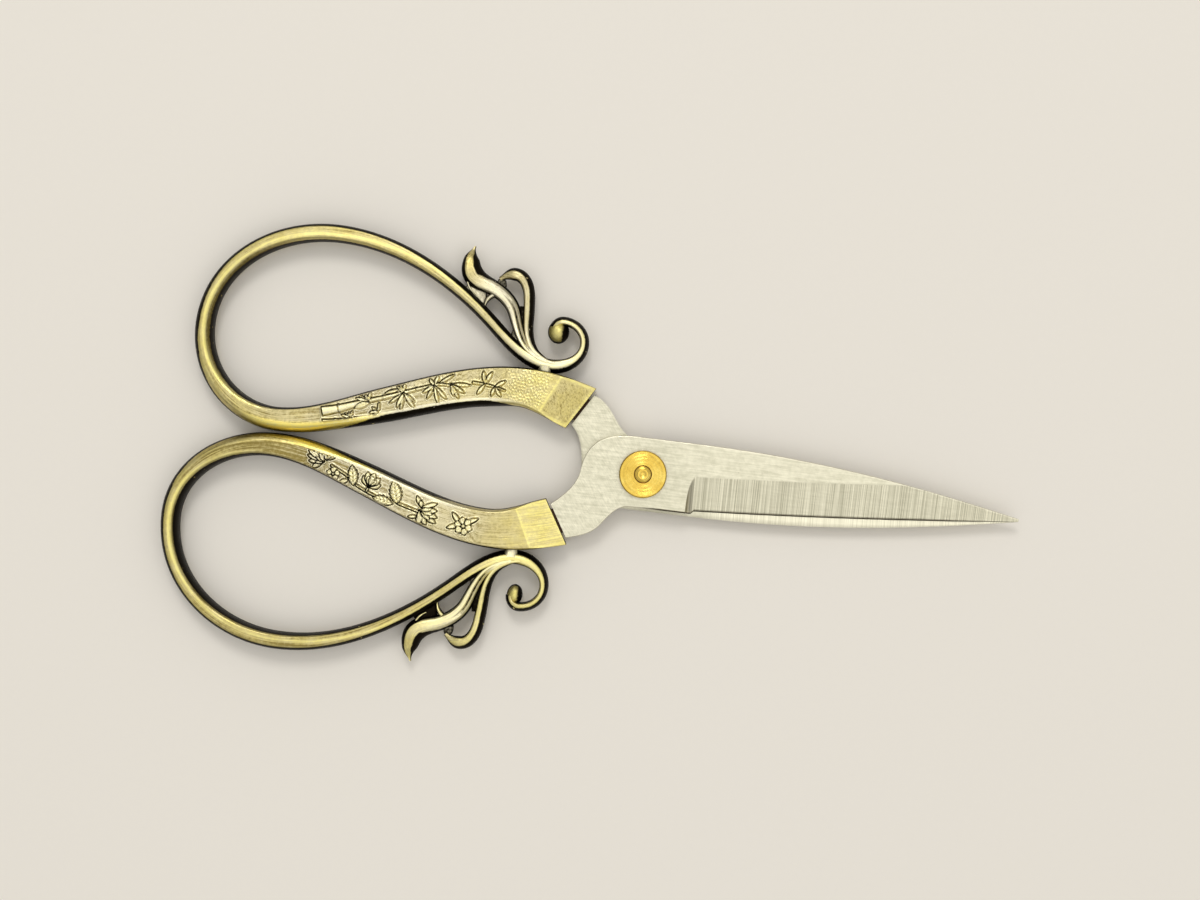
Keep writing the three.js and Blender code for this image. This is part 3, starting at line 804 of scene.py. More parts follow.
@dataclass(frozen=True)
class SatinSteel(Finish):
    """Satin steel of the blades: flats brushed lengthwise, the bevel ground across."""

    flat: Colour = (0.83, 0.785, 0.61, 1.0)
    shaded: Colour = (0.50, 0.475, 0.345, 1.0)
    ground: Colour = (0.82, 0.775, 0.59, 1.0)
    ground_dark: Colour = (0.44, 0.415, 0.295, 1.0)
    pit: Colour = (0.30, 0.27, 0.19, 1.0)
    # colour of the painted shade under the cutting edge, along the spine and on the tang
    painted_shade: Colour = (0.035, 0.02, 0.012, 1.0)
    long_brush: Point = (230.0, 2400.0)
    slant_brush: Point = (800.0, 4400.0)
    slant_turn: float = 52.0  # degrees from the blade's length
    cross_brush: Point = (35.0, 2000.0)
    cross_turn: float = 88.0
    clouds: Point = (1200.0, 3600.0)
    long_share: float = 0.45  # shares of the lengthwise streaks and of the clouds in the tone
    cloud_share: float = 0.25
    rear_tone: Ramp = (0.0, 0.012, -0.14, 0.02)  # tone from the neck to the blade, by the place along it
    slant_share: Ramp = (-0.006, 0.006, 0.34, 0.08)  # share of the slanting streaks, in the same way
    pits: Ramp = (0.70, 0.80, 0.0, 0.8)  # pits by the grain
    roughness: Point = (0.16, 0.30)  # what scratches add, and the least
    scratch_depth: float = 0.000004

    def material(self) -> Material:
        """Flats and bevel by the bevel mask, each with streaks along its own way of working.

        Returns:
            The material.
        """
        material, nodes, shader = self.start("satin_steel")
        place = nodes.place()
        long_way = self.brushed(nodes, place, self.long_brush)
        slanting = self.brushed(nodes, nodes.turned(place, self.slant_turn), self.slant_brush)
        cross_way = self.brushed(nodes, nodes.turned(place, self.cross_turn), self.cross_brush)
        clouds = self.mottled(nodes, place, self.clouds)
        bevel = nodes.attribute("bevel")
        east = nodes.add("ShaderNodeSeparateXYZ", {0: place}).outputs["X"]
        tone = nodes.gain(long_way.outputs["Streaks"], self.long_share, nodes.ramp(east, *self.rear_tone))
        tone = nodes.gain(slanting.outputs["Streaks"], nodes.ramp(east, *self.slant_share), tone)
        tone = nodes.gain(clouds.outputs["Tone"], self.cloud_share, tone)
        flat = nodes.mix(tone, self.shaded, self.flat)
        flat = nodes.mix(nodes.ramp(clouds.outputs["Grain"], *self.pits), flat, self.pit)
        ground = nodes.mix(cross_way.outputs["Scratches"], self.ground_dark, self.ground)
        metal = nodes.mix(bevel, flat, ground)
        # edge mask: painted highlight on the broken edges, and a lighter inner face along the hollow
        metal = nodes.mix(nodes.attribute("edge"), metal, self.flat)
        # painted shade darkens the gap under the cutting edge, the spine's side and the tang
        nodes.link(nodes.mix(nodes.attribute("painted_shade"), metal, self.painted_shade), shader, "Base Color")
        nodes.link(nodes.gain(long_way.outputs["Scratches"], *self.roughness), shader, "Roughness")
        marks = nodes.blend(bevel, long_way.outputs["Scratches"], cross_way.outputs["Scratches"])
        nodes.link(self.bump(nodes, marks, self.scratch_depth), shader, "Normal")
        return material


@dataclass(frozen=True)
class AntiqueBrass(Finish):
    """Antique brass of the castings: brushed tops, rubbed ridges and dark recesses."""

    deep: Colour = (0.23, 0.175, 0.05, 1.0)
    plain: Colour = (0.545, 0.45, 0.16, 1.0)
    silver: Colour = (0.72, 0.66, 0.48, 1.0)
    rubbed: Colour = (0.76, 0.66, 0.205, 1.0)
    # pale tone of rubbed places and of the painted highlights
    pale: Colour = (0.95, 0.87, 0.50, 1.0)
    gilt: Colour = (1.0, 0.81, 0.17, 1.0)
    dark: Colour = (0.012, 0.009, 0.005, 1.0)
    brush: Point = (120.0, 3700.0)
    hatch_brush: Point = (2300.0, 3400.0)
    hatch_turn: float = 67.0  # degrees from the length of the part
    clouds: Point = (420.0, 4200.0)
    cloud_silver: float = 0.2  # how much paler the clouds make it
    streaks: Point = (0.48, -0.24)  # change of polish by the streaks, and its offset
    roughness: Point = (0.18, 0.27)  # what scratches add, and the least
    dull: float = 0.2  # roughness that the patina adds
    grain: float = 0.7  # height of the casting's grain, in scratches
    scratch_depth: float = 0.000010

    def material(self) -> Material:
        """Patina and painted shade, polish and painted highlights by the masks of the mesh, streaks along
        the strand and the grain of the casting.

        Returns:
            The material.
        """
        material, nodes, shader = self.start("antique_brass")
        place = nodes.place()
        flow = nodes.add("ShaderNodeUVMap", uv_map="flow").outputs[0]
        along = self.brushed(nodes, flow, self.brush)
        hatched = self.brushed(nodes, nodes.turned(place, self.hatch_turn), self.hatch_brush)
        cast = self.mottled(nodes, place, self.clouds)
        paler = nodes.gain(cast.outputs["Tone"], self.cloud_silver, nodes.attribute("silver"))
        paler = nodes.math("MINIMUM", paler, 1.0)
        plain = nodes.mix(nodes.attribute("gilt"), nodes.mix(paler, self.plain, self.silver), self.gilt)
        streaks = nodes.blend(nodes.attribute("hatch"), along.outputs["Streaks"], hatched.outputs["Streaks"])
        polish_and_highlight = nodes.math("ADD", nodes.attribute("polish_and_highlight"), nodes.gain(streaks, *self.streaks))
        rubbed = nodes.mix(paler, self.rubbed, self.pale)
        tone = self.aged(nodes, place, polish_and_highlight, Deep=self.deep, Plain=plain, Rubbed=rubbed, Dark=self.dark)
        nodes.link(tone.outputs["Color"], shader, "Base Color")
        rough = nodes.gain(along.outputs["Scratches"], *self.roughness)
        nodes.link(nodes.gain(tone.outputs["Cover"], self.dull, rough), shader, "Roughness")
        grain = nodes.gain(cast.outputs["Grain"], self.grain, along.outputs["Scratches"])
        nodes.link(self.bump(nodes, grain, self.scratch_depth), shader, "Normal")
        return material


@dataclass(frozen=True)
class TurnedBrass(Finish):
    """Bright turned brass of the pivot, with the fine rings of the lathe."""

    bright: Colour = (0.83, 0.625, 0.15, 1.0)
    plain: Colour = (0.70, 0.475, 0.085, 1.0)
    deep: Colour = (0.44, 0.26, 0.035, 1.0)
    # colour of the painted shade in the recesses and on the side walls
    dark: Colour = (0.17, 0.095, 0.018, 1.0)
    clouds: Point = (420.0, 5000.0)
    cloud_polish: float = 0.5
    rings: Point = (9000.0, 2.0)  # scale and detail
    ring_polish: float = 0.7
    roughness: Point = (0.15, 0.16)  # what the rings add, and the least
    ring_depth: float = 0.000022

    def material(self) -> Material:
        """Rings about the pivot axis from the distance to it, with painted shade in the recesses and on the
        side walls.

        Returns:
            The material.
        """
        material, nodes, shader = self.start("turned_brass")
        place = nodes.place()
        level = nodes.add("ShaderNodeVectorMath", {0: place, 1: (1.0, 1.0, 0.0)}, operation="MULTIPLY")
        radius = nodes.add("ShaderNodeVectorMath", {0: level.outputs[0]}, operation="LENGTH")
        line = nodes.add("ShaderNodeCombineXYZ", {0: radius.outputs["Value"]})
        rings = nodes.noise(line.outputs[0], *self.rings)
        cloud = self.mottled(nodes, place, self.clouds)
        polish_and_highlight = nodes.math("MULTIPLY", rings, self.ring_polish)
        polish_and_highlight = nodes.gain(cloud.outputs["Tone"], self.cloud_polish, polish_and_highlight)
        colours = {"Deep": self.deep, "Plain": self.plain, "Rubbed": self.bright, "Dark": self.dark}
        tone = self.aged(nodes, place, polish_and_highlight, **colours)
        nodes.link(tone.outputs["Color"], shader, "Base Color")
        nodes.link(nodes.gain(rings, *self.roughness), shader, "Roughness")
        nodes.link(self.bump(nodes, rings, self.ring_depth), shader, "Normal")
        return material


def dress(
    name: str, surface: Surface, flip: Triple, material: Material, half: Half, node: str
) -> None:
    """Set a surface into the part, give its piece a finish and say what it rides on and stands for.

    Args:
        name: name of the piece.
        surface: its surface, with the plane between the blades at height 0.
        flip: factor of 1 or -1 for each axis.
        material: its finish.
        half: the half of the pair that it moves with.
        node: the solid that it replaces.
    """
    surface.points = surface.points * flip + (0.0, 0.0, LEVEL)
    piece = surface.build(name)
    piece.data.materials.append(material)
    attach(piece, half.value)
    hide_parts(node)
    LOG.info("%s: %d faces", piece.name, len(piece.data.polygons))


@dataclass(frozen=True)
class Blade:
    """One steel blade with its neck and tang, as a ruled surface between its two borders."""

    half: Half
    node: str  # the solid that it replaces
    neck_extra: float = 0.0  # how much longer the neck is
    outer: float = -1.83  # heights of the outer and of the inner face
    inner: float = -0.03
    tip_reach: float = 62.0
    tip_half: float = 0.25
    spine_offset: float = 6.0
    spine_bend: Point = (8.0, 20.0)  # where the spine leaves its straight, and its arm
    tip_arm: Point = (18.0, 3.5)  # its arm at the tip, back and outwards
    plate_rear: float = -1.5  # where the blade ends and the neck begins
    ricasso: float = 5.5
    heel: Point = (9.0, 5.05)  # where the cutting edge begins
    heel_lean: float = -0.07  # slope of the edge that the bevel starts with
    belly: float = 0.35
    edge_thickness: float = 0.35
    thinnest: float = 0.05
    bevel_width: float = 5.75
    grind_start: float = 9.25
    grind_margin: float = 0.4  # reach of the dense rows past the bevel's start
    wheel: float = 1.7  # radius of the wheel's trace at the bevel's start
    hollow: float = 0.12
    hollow_run: Point = (13.0, 56.0)
    hollow_ends: float = 4.0  # length over which the hollow runs out
    hollow_rim: float = 0.15  # share of its depth left flat along both borders
    shoulder: Point = (-11.0, 9.2)
    shoulder_half: float = 3.05
    shoulder_skew: float = 31.0
    shoulder_ways: Point = (-40.0, 166.0)  # headings of the neck's borders at the shoulder
    neck_inner: tuple[Station, ...] = (Station(-10.15, 0.5, -84.0), Station(-8.6, -3.7, -50.0))
    neck_outer: Station = Station(-5.9, 9.0, 126.0)
    tang_half: float = 2.0
    tang_rows: tuple[float, ...] = (0.0, 0.02, 3.0, 6.0, 9.0)  # along the tang
    tang_skew: float = 12.0
    rounding: float = 0.14  # broken edges of the plate
    keen_width: float = 0.26  # narrow last facet of the cutting edge
    keen_drop: float = 0.28
    point_start: float = 56.0  # where the rows of the point begin
    row_counts: tuple[int, ...] = (22, 90, 52, 16)
    neck_rows: int = 48
    neck_steps: int = 60  # steps of each span of the neck's borders
    inner_columns: int = 13
    rim_highlight: float = 0.5  # painted highlight on the broken edges
    inner_polish: float = 0.45
    edge_shade: float = 0.95  # painted shade in the gap under the last facet, along the spine's side and on the tang inside the socket
    spine_shade: float = 0.35

    BRIM = np.array([[0.0, 0.12, 0.5, 1.0, 1.7]])  # columns over an edge, in roundings
    BRIM_DROP = np.array([[1.0, 0.5, 0.12, 0.0, 0.0]])  # how far they drop
    KEEN_DROP = np.array([[0.0, 0.0, 0.5, 0.88, 1.0]])  # drop over the last facet
    FLAT = np.array([[0.25, 0.5, 0.75, 0.92, 0.985]])  # columns of the flat, by its share
    GROUND = np.linspace(0.03, 0.97, 14)[None, :]  # columns of the bevel, by its share

    def spine_at(self, x: Array) -> Array:
        """Line of the spine: straight beside the pivot, then one cubic to the tip.

        Args:
            x: places along the blade.

        Returns:
            The spine's place across at each.
        """
        start, arm = self.spine_bend
        back, out = self.tip_arm
        t = np.linspace(0.0, 1.0, 400)
        r = 1.0 - t
        weights = np.stack([r**3, 3 * r * r * t, 3 * r * t * t, t**3], axis=1)
        xs = weights @ (start, start + arm, self.tip_reach - back, self.tip_reach)
        ys = weights @ (-self.spine_offset, -self.spine_offset, -self.tip_half - out, -self.tip_half)
        return np.where(x > start, np.interp(x, xs, ys), -self.spine_offset)

    def edge_at(self, x: Array) -> Array:
        """Line of the cutting edge: a parabola from the heel to the tip, a nick, then the ricasso.

        Args:
            x: places along the blade.

        Returns:
            The edge's place across at each.
        """
        heel_x, heel_y = self.heel
        t = np.clip((x - heel_x) / (self.tip_reach - heel_x), 0.0, 1.0)
        control = (heel_y + self.tip_half) / 2 + 2 * self.belly
        curve = heel_y * (1 - t) ** 2 + 2 * control * t * (1 - t) + self.tip_half * t * t
        nick = np.clip(heel_y + heel_x - x, heel_y, self.ricasso)
        return np.where(x > heel_x, curve, nick)

    def borders(self) -> tuple[Array, Array]:
        """Ends of the rulings: the spine and the edge, the neck's two flowing borders, and the tang's sides.

        Returns:
            Spine-side and edge-side points of each ruling, from the tip to the end of the tang.
        """
        dense = (self.grind_start + self.grind_margin, self.grind_start - self.wheel - self.grind_margin)
        stops = (self.tip_reach, self.point_start, *dense, self.plate_rear)
        spans = zip(stops[:-1], stops[1:], self.row_counts)
        x = np.concatenate([np.linspace(start, end, count, endpoint=False) for start, end, count in spans])
        spine = np.stack([x, self.spine_at(x)], axis=1)
        edge = np.stack([x, self.edge_at(x)], axis=1)

        shoulder = np.array(self.shoulder) - (self.neck_extra, 0.0)
        line = way(90.0 - self.shoulder_skew)
        inner_way, outer_way = self.shoulder_ways
        inner_corner = Station(*(shoulder - line * self.shoulder_half), inner_way)
        outer_corner = Station(*(shoulder + line * self.shoulder_half), outer_way)
        spine_end = Station(self.plate_rear, -self.spine_offset, 0.0)
        edge_end = Station(self.plate_rear, self.ricasso, 180.0)
        steps = [self.neck_steps] * (len(self.neck_inner) + 1)
        neck_spine = Course([inner_corner, *self.neck_inner, spine_end], steps).even(self.neck_rows)[::-1]
        neck_edge = Course([edge_end, self.neck_outer, outer_corner], steps[:2]).even(self.neck_rows)
        tang_side = line * self.tang_half / math.cos(math.radians(self.shoulder_skew - self.tang_skew))
        reach = np.array(self.tang_rows)[:, None] * way(180.0 - self.tang_skew)
        spine = np.concatenate([spine, neck_spine, shoulder - tang_side + reach])
        return spine, np.concatenate([edge, neck_edge, shoulder + tang_side + reach])

    def bevel_height(self, x: Array, y: Array) -> Array:
        """Height of the ground bevel: a slope up from the edge, lifted by the wheel's arc at its start.

        Args:
            x: places along the blade.
            y: places across it.

        Returns:
            Height of the bevel's plane, far outside the plate where nothing is ground.
        """
        step, far = 0.01, 9.0
        foot = self.inner - self.edge_thickness
        slope = (foot - self.outer) / self.bevel_width
        lean = (self.edge_at(x + step) - self.edge_at(x - step)) / (2 * step)
        lean = np.where(x > self.heel[0] + step, lean, self.heel_lean)
        inward = (self.edge_at(np.maximum(x, self.heel[0])) - y) / np.hypot(1.0, lean)
        before = np.clip((self.grind_start - (x - lean * inward)) / self.wheel, 0.0, 1.0)
        lift = self.wheel * (1.0 - np.sqrt(1.0 - before**2))
        return foot - slope * inward - lift - np.where(before >= 1.0, far, 0.0)

    def _outer_columns(self, width: Array, on_blade: Array) -> tuple[Array, Array]:
        """Columns over the outer face: a broken edge, the flat, the bevel and the last facet.

        Args:
            width: width of each ruling.
            on_blade: 1 on the blade, 0 on the neck.

        Returns:
            Distance of each column from the spine, and how far its point drops at the borders.
        """
        small = np.minimum(self.rounding, 0.2 * width)
        keen = small * (1.0 - on_blade) + np.minimum(self.keen_width, 0.05 * width) * on_blade
        brim, thin = self.BRIM * small, self.BRIM[:, ::-1] * keen
        line = np.clip(width - self.bevel_width, 2.2 * small, width - 2.2 * keen - 0.02)
        flat = brim[:, -1:] + (line - brim[:, -1:]) * self.FLAT
        ground = line + (width - thin[:, :1] - line) * self.GROUND
        columns = np.hstack([brim, flat, line, ground, width - thin])
        edge_drop = keen * (1.0 - on_blade) * self.BRIM_DROP[:, ::-1]
        edge_drop = edge_drop + np.minimum(self.keen_drop, keen) * on_blade * self.KEEN_DROP
        drop = np.zeros_like(columns)
        drop[:, : brim.shape[1]] = small * self.BRIM_DROP
        drop[:, -thin.shape[1] :] = edge_drop
        return columns, drop

    def surface(self) -> Surface:
        """The blade: rows at the rulings, columns over the outer face, the edge, the inner face, the spine.

        Returns:
            The surface, with its outer face down.
        """
        spine, edge = self.borders()
        width = np.linalg.norm(edge - spine, axis=1)[:, None]
        on_blade = smooth(-1.0, 4.0, spine[:, 0])[:, None]
        outer_at, drop = self._outer_columns(width, on_blade)
        place = spine[:, None, :] + (edge - spine)[:, None, :] * (outer_at / width)[:, :, None]
        cut = self.bevel_height(place[:, :, 0], place[:, :, 1])
        cut = np.where(place[:, :, 0] > self.plate_rear, cut, self.outer)
        outer_z = np.minimum(np.maximum(self.outer, cut) + drop, self.inner - self.thinnest)

        share = np.linspace(1.0, 0.0, self.inner_columns)[None, :] * np.ones_like(width)
        inner_place = spine[:, None, :] + (edge - spine)[:, None, :] * share[:, :, None]
        east = inner_place[:, :, 0]
        start, end = self.hollow_run
        run = smooth(start, start + self.hollow_ends, east) * smooth(end, end - self.hollow_ends, east)
        sunk = np.clip(4.0 * share * (1.0 - share) - self.hollow_rim, 0.0, None)
        inner_z = self.inner - self.hollow * run * sunk

        points = np.dstack([np.hstack([place, inner_place]), np.hstack([outer_z, inner_z])])
        rubbed = smooth(start - 3.0, start, east)
        bevel = np.hstack([smooth(0.0, 0.02, cut - self.outer), rubbed])
        columns = outer_at.shape[1]
        # painted highlight on the broken edges; the inner face lighter along the hollow
        rim = np.zeros_like(bevel)
        rim[:, 1:4] = self.rim_highlight
        rim[:, columns - 4 : columns - 1] = self.rim_highlight * (1.0 - on_blade)
        rim[:, columns:] = self.inner_polish * rubbed
        # painted shade: the gap's shadow under the last facet, darkening along the spine, and the tang in
        # the socket in full
        painted_shade = np.zeros_like(bevel)
        painted_shade[:, columns - 3 : columns + 1] = self.edge_shade * on_blade
        painted_shade[:, [0, -1]] = self.spine_shade
        painted_shade[-len(self.tang_rows) :] = 1.0
        masks = {"bevel": bevel, "edge": rim, "painted_shade": painted_shade}
        return Surface(points, running((spine + edge) / 2), masks, crease=38.0)

    def build(self, material: Material) -> None:
        """Make the blade in its half of the pair, the front one turned over."""
        flip = TURNED_OVER if self.half is Half.FRONT else UPRIGHT
        dress(self.node + "_steel", self.surface(), flip, material, self.half, self.node)


@dataclass(frozen=True)
class Handle:
    """One cast handle: socket, limb, bow and volute in one strand, with leaf, tendril, webs and bridge.

    Where the two castings differ, the values here are the upper one's.
    """

    half: Half
    node: str
    side: int  # 1 if it lies towards +Y, -1 if towards -Y
    relief: Relief
    neck_extra: float = 0.0  # how far back the socket's mouth is set
    widening: float = 1.0  # how much further out bow and scroll stand
    inner_dark: Triple = (8.5, 16.5, 44.0)  # start, full place and end of the limb's black inner shoulder
    inner_reach: float = 1.0  # share of that shoulder that is black
    inner_swell: float = 0.45  # how much wider that shoulder is there
    gilt: Triple = (31.0, 58.0, 0.5)  # start and end of the golden shoulder, and its reach onto the face
    heel_shift: float = -0.6  # how far outwards the heel stands off its place
    heel_polish: float = 0.32
    ground_tone: float = -0.03  # how much brighter the limb's ground is rubbed
    ground_silver: float = 0.0  # how much paler it is
    silver_share: float = 1.0  # share of the scroll's silver tone
    scroll_polish: float = -0.14  # how much brighter leaf and tendril are
    # Tilts where the patina starts, outside and inside, at the bow's end, crown and tail
    bow_dark: tuple[Point, ...] = ((0.02, 0.3), (0.04, 0.25), (0.03, 0.08))
    crown_polish: float = 0.42
    leaf_shift: float = 0.0  # how far the leaf's head is moved along the part
    bead: Point = (1.75, 1.95)  # half sizes of the volute's bead along and across the part
    facet_polish: float = -0.12  # how much brighter the sloped face at the mouth is
    facet_hatch: float = 1.0  # how much that face is hatched
    web_darks: tuple[float, ...] = (0.35, 0.5, 0.75, 0.6)  # patina on the webs
    mouth_base: Point = (-11.386, 9.432)  # middle of the socket's mouth on a plain neck
    mouth_skew: float = 31.0
    mouth_run: float = 6.0  # length over which the rows are sheared to the mouth
    limb_half: float = 3.0
    heel_x: float = -60.5
    heel_gap: float = 0.3  # from the heel to the plane between the handles
    facet_length: float = 5.4
    facet_drop: float = 0.7
    facet_skew: float = 26.0
    slot_half: float = 2.27
    slot_shift: float = 0.155
    slot_depth: float = 9.4
    slot_heights: Point = (-1.98, 0.12)
    tang_skew: float = 12.0
    face_columns: int = 52
    strand_rows: tuple[int, ...] = (120, 260, 215, 60, 70, 70, 36, 26, 26, 18)
    sprig_rows: int = 34
    sprig_columns: int = 13
    bead_inset: Point = (0.5, -0.1)
    bridge_at: float = -6.6
    web_half: float = 0.8
    grooves: Point = (0.3, 0.15)  # depth of the groove along the leaf and along the tendril
    relief_end: float = 4.0  # how far before the heel the relief ends
    ground_run: float = 6.0  # length over which the ground comes up to the bow's face
    black_run: float = 12.0  # length over which the black shoulder fades
    gilt_run: float = 6.0
    patina_full: float = 0.95
    patina_range: Point = (0.5, 1.7)  # where the patina begins and is full, by its limit of tilt
    least_limit: float = 0.01
    back_dark: float = 0.12  # patina on the back
    wall_wear: float = 0.18  # share of it rubbed off the upright sides
    level: float = 0.05  # tilt below which a face counts as level
    shoulder_highlight: float = 0.25  # how much brighter things are made, by rubbing and by painted highlights; here the painted highlight where a shoulder starts
    gilt_polish: float = 0.2
    motif_polish: float = 0.55
    motif_silver: float = 0.5
    # painted highlights along the facet's crease and round its frame
    crest_highlight: float = 0.4
    frame_polish: float = 0.25
    stipple_polish: float = 0.16
    # painted highlight along the face's inner border, in brightness and paleness
    rim_highlight: float = 0.3
    rim_highlight_silver: float = 0.8
    bow_side_light: float = 0.3  # painted light on the bow's outer side and painted shade on its inner side
    highlight_path: tuple[float, ...] = (-0.75, -0.1, -0.25, 0.6, 0.1)  # place across of the painted highlight line, from heel to root
    highlight_width: float = 0.2
    highlight_bright: float = 0.65
    highlight_pale: float = 0.06
    leaf_silver: float = 0.8  # least share of the silver tone on a leaf
    limb_stations: tuple[Station, ...] = (
        Station(0.0, 0.0, 163.0, 3.98, 3.0, 0.35, 0.3, 0.5, 0.5, 0.5, 0.55, 0.0),
        Station(-10.7, 2.3, 180.0, 3.15, 3.0, 0.55, 0.4, 1.6, 0.5, 0.06, 0.45, 0.1),
        Station(-31.7, -3.05, 199.0, 2.6, 3.0, 0.9, 0.4, 1.9, 0.5, 0.06, 0.34, 0.55),
    )
    heel: Station = Station(0.0, 0.0, 180.0, 1.95, 3.0, 1.5, 0.6, 2.1, 0.5, 0.08, silver=0.15)
    bow_stations: tuple[Station, ...] = (
        Station(-62.7, 6.2, 90.0, 1.5, 2.6, 1.2, 1.6, 2.3, polish_and_highlight=0.36),
        Station(-42.7, 23.55, 0.0, 1.42, 2.4, 0.8, 0.7, 2.0),
        Station(-15.7, 11.8, -42.0, 1.12, 2.1, 1.0, 0.9, 1.8, polish_and_highlight=0.5, silver=0.3),
        Station(-5.7, 6.25, 0.0, 1.15, 1.9, 0.5, 1.2, 1.7, 0.12, 0.09, 0.66, 0.9),
        Station(-0.65, 10.4, 90.0, 0.75, 1.8, 0.35, 1.0, 1.6, 0.2, 0.07, 0.75, 0.5),
        Station(-4.4, 13.85, 180.0, 0.75, 1.8, 0.35, 1.0, 1.6, 0.2, 0.08, 0.6, 0.4),
        Station(-6.1, 12.2, 270.0, 0.6, 1.5, 0.3, 0.8, 1.3, 0.2, 0.05, 0.5, 0.3),
    )
    tendril: tuple[Station, ...] = (
        Station(-5.0, 6.75, 178.0, 0.25, 1.95, 0.12, 0.12, 0.4, 0.5, 0.4, 0.7, 0.9),
        Station(-7.8, 7.75, 146.0, 0.5, 2.0, 0.2, 0.5, 1.2, 0.3, 0.1, 0.65, 0.9),
        Station(-10.2, 13.0, 94.0, 0.85, 1.6, 0.35, 1.1, 1.4, 0.2, 0.05, 0.6, 0.5),
        Station(-10.6, 17.2, 98.0, 0.95, 1.5, 0.4, 1.25, 1.3, 0.2, 0.05, 0.52, 0.4),
        Station(-13.3, 20.5, 180.0, 1.05, 1.4, 0.5, 1.1, 1.2, 0.15, 0.1, 0.36, 0.3),
        Station(-15.7, 19.4, 218.0, 0.35, 0.8, 0.1, 0.3, 0.5, 0.3, 0.2, 0.36, 0.3),
    )
    leaf: tuple[Station, ...] = (
        Station(-6.4, 6.9, 172.0, 0.3, 2.0, 0.12, 0.15, 0.4, 0.5, 0.4, 0.7, 0.9),
        Station(-9.6, 8.5, 140.0, 0.62, 2.05, 0.25, 0.4, 1.2, 0.35, 0.25, 0.65, 0.9),
        Station(-12.6, 14.1, 111.0, 1.1, 1.5, 0.5, 0.9, 1.3, 0.3, 0.25, 0.55, 0.9),
        Station(-17.1, 18.05, 160.0, 1.35, 1.6, 0.7, 1.2, 1.4, 0.2, 0.2, 0.55, 0.8),
        Station(-20.0, 19.5, 131.0, 1.75, 1.7, 1.0, 1.8, 1.5, 0.04, 0.05, 0.34, 0.2),
        Station(-20.75, 22.0, 95.0, 1.3, 1.3, 0.75, 1.4, 1.1, 0.04, 0.04, 0.36, 0.05),
        Station(-20.35, 24.25, 72.0, 0.14, 0.5, 0.06, 0.1, 0.3, 0.2, 0.2, 0.6, 0.2),
    )
    leaf_head: int = 4  # station of the leaf from which its whole shift holds
    spurs: tuple[tuple[Station, ...], ...] = (
        (
            Station(-15.4, 17.2, 200.0, 0.5, 1.3, 0.3, 0.5, 1.1, 0.3, 0.2, 0.6, 0.9),
            Station(-17.2, 16.0, 235.0, 0.35, 1.1, 0.2, 0.3, 0.9, 0.3, 0.2, 0.6, 0.9),
            Station(-17.7, 14.4, 262.0, 0.12, 0.8, 0.08, 0.1, 0.6, 0.3, 0.2, 0.6, 0.9),
        ),
        (
            Station(-20.9, 18.4, -75.0, 0.2, 1.2, 0.12, 0.16, 1.0, 0.4, 0.3, 0.6, 1.0),
            Station(-20.3, 17.2, -50.0, 0.22, 1.2, 0.14, 0.16, 1.0, 0.4, 0.3, 0.6, 1.0),
            Station(-19.2, 16.4, -30.0, 0.1, 0.9, 0.06, 0.08, 0.7, 0.4, 0.3, 0.6, 1.0),
        ),
    )
    webs: tuple[tuple[Point, ...], ...] = (
        ((-20.5, 18.0), (-17.3, 17.0), (-17.6, 14.4), (-21.5, 17.4)),
        ((-12.7, 11.6), (-12.9, 10.0), (-10.6, 8.3), (-11.2, 10.6)),
        ((-12.0, 15.6), (-12.0, 13.0), (-10.4, 9.4), (-10.4, 15.3)),
        ((-16.0, 19.5), (-16.2, 18.2), (-14.4, 17.9), (-14.6, 19.4)),
    )

    HEEL, END, CROWN, ROOT, CURL, LAST = 3, 4, 5, 7, 9, 10  # numbers of the strand's stations

    @property
    def mouth(self) -> Array:
        """Middle of the socket's mouth in the plane."""
        return np.array(self.mouth_base) - (self.neck_extra, 0.0)

    @property
    def shear(self) -> float:
        """Angle in radians between the mouth and the square end of the strand."""
        return math.radians(self.mouth_skew - 180.0 + self.limb_stations[0].heading)

    def place(self, x: float, y: float) -> Array:
        """Place in the half's frame of a point given from the mouth, widened where it stands out."""
        return self.mouth + (x, y * self.widening if y > 0 else y)

    def placed(self, stations: Sequence[Station], share: float = 1.0) -> list[Station]:
        """Stations moved from the mouth into the half's frame, with a share of their silver."""
        where = [self.place(s.x, s.y) for s in stations]
        return [replace(s, x=p[0], y=p[1], silver=share * s.silver) for s, p in zip(stations, where)]

    def worn(self, tilt: Array) -> Array:
        """Share of the patina that is left at a tilt: some of it is rubbed off the upright sides."""
        return 1.0 - self.wall_wear * smooth(0.9, 1.0, np.abs(tilt))

    def shades(self, strip: Strip) -> None:
        """Fill the masks of a strip: patina where a shoulder tilts past its limit, polish on the tops and a
        painted highlight where the shoulders start.

        Args:
            strip: the strip.
        """
        limit = np.where(strip.tilt > 0, strip.size("left_dark"), strip.size("right_dark"))
        limit = np.maximum(limit, self.least_limit)
        steep = np.abs(strip.tilt)
        begin, full = (share * limit for share in self.patina_range)
        full = np.maximum(np.minimum(full, 1.0), begin + self.least_limit)
        back = np.zeros((1, steep.shape[1]))
        back[:, strip.front.stop + strip.front.start :] = self.back_dark
        # painted highlight where each front shoulder starts to fall
        painted_highlight = smooth(0.0, 0.03, steep) * smooth(0.3, 0.03, steep)
        painted_highlight = painted_highlight * (1.0 - 0.8 * np.clip(strip.size("silver"), 0.0, 1.0))
        strip.masks = {
            "patina": self.patina_full * smooth(begin, full, steep) * self.worn(strip.tilt),
            "polish_and_highlight": strip.size("polish_and_highlight") + self.shoulder_highlight * painted_highlight,
            "hatch": np.zeros_like(steep),
            "silver": strip.size("silver") * np.ones_like(steep),
        }
        strip.darken(back)

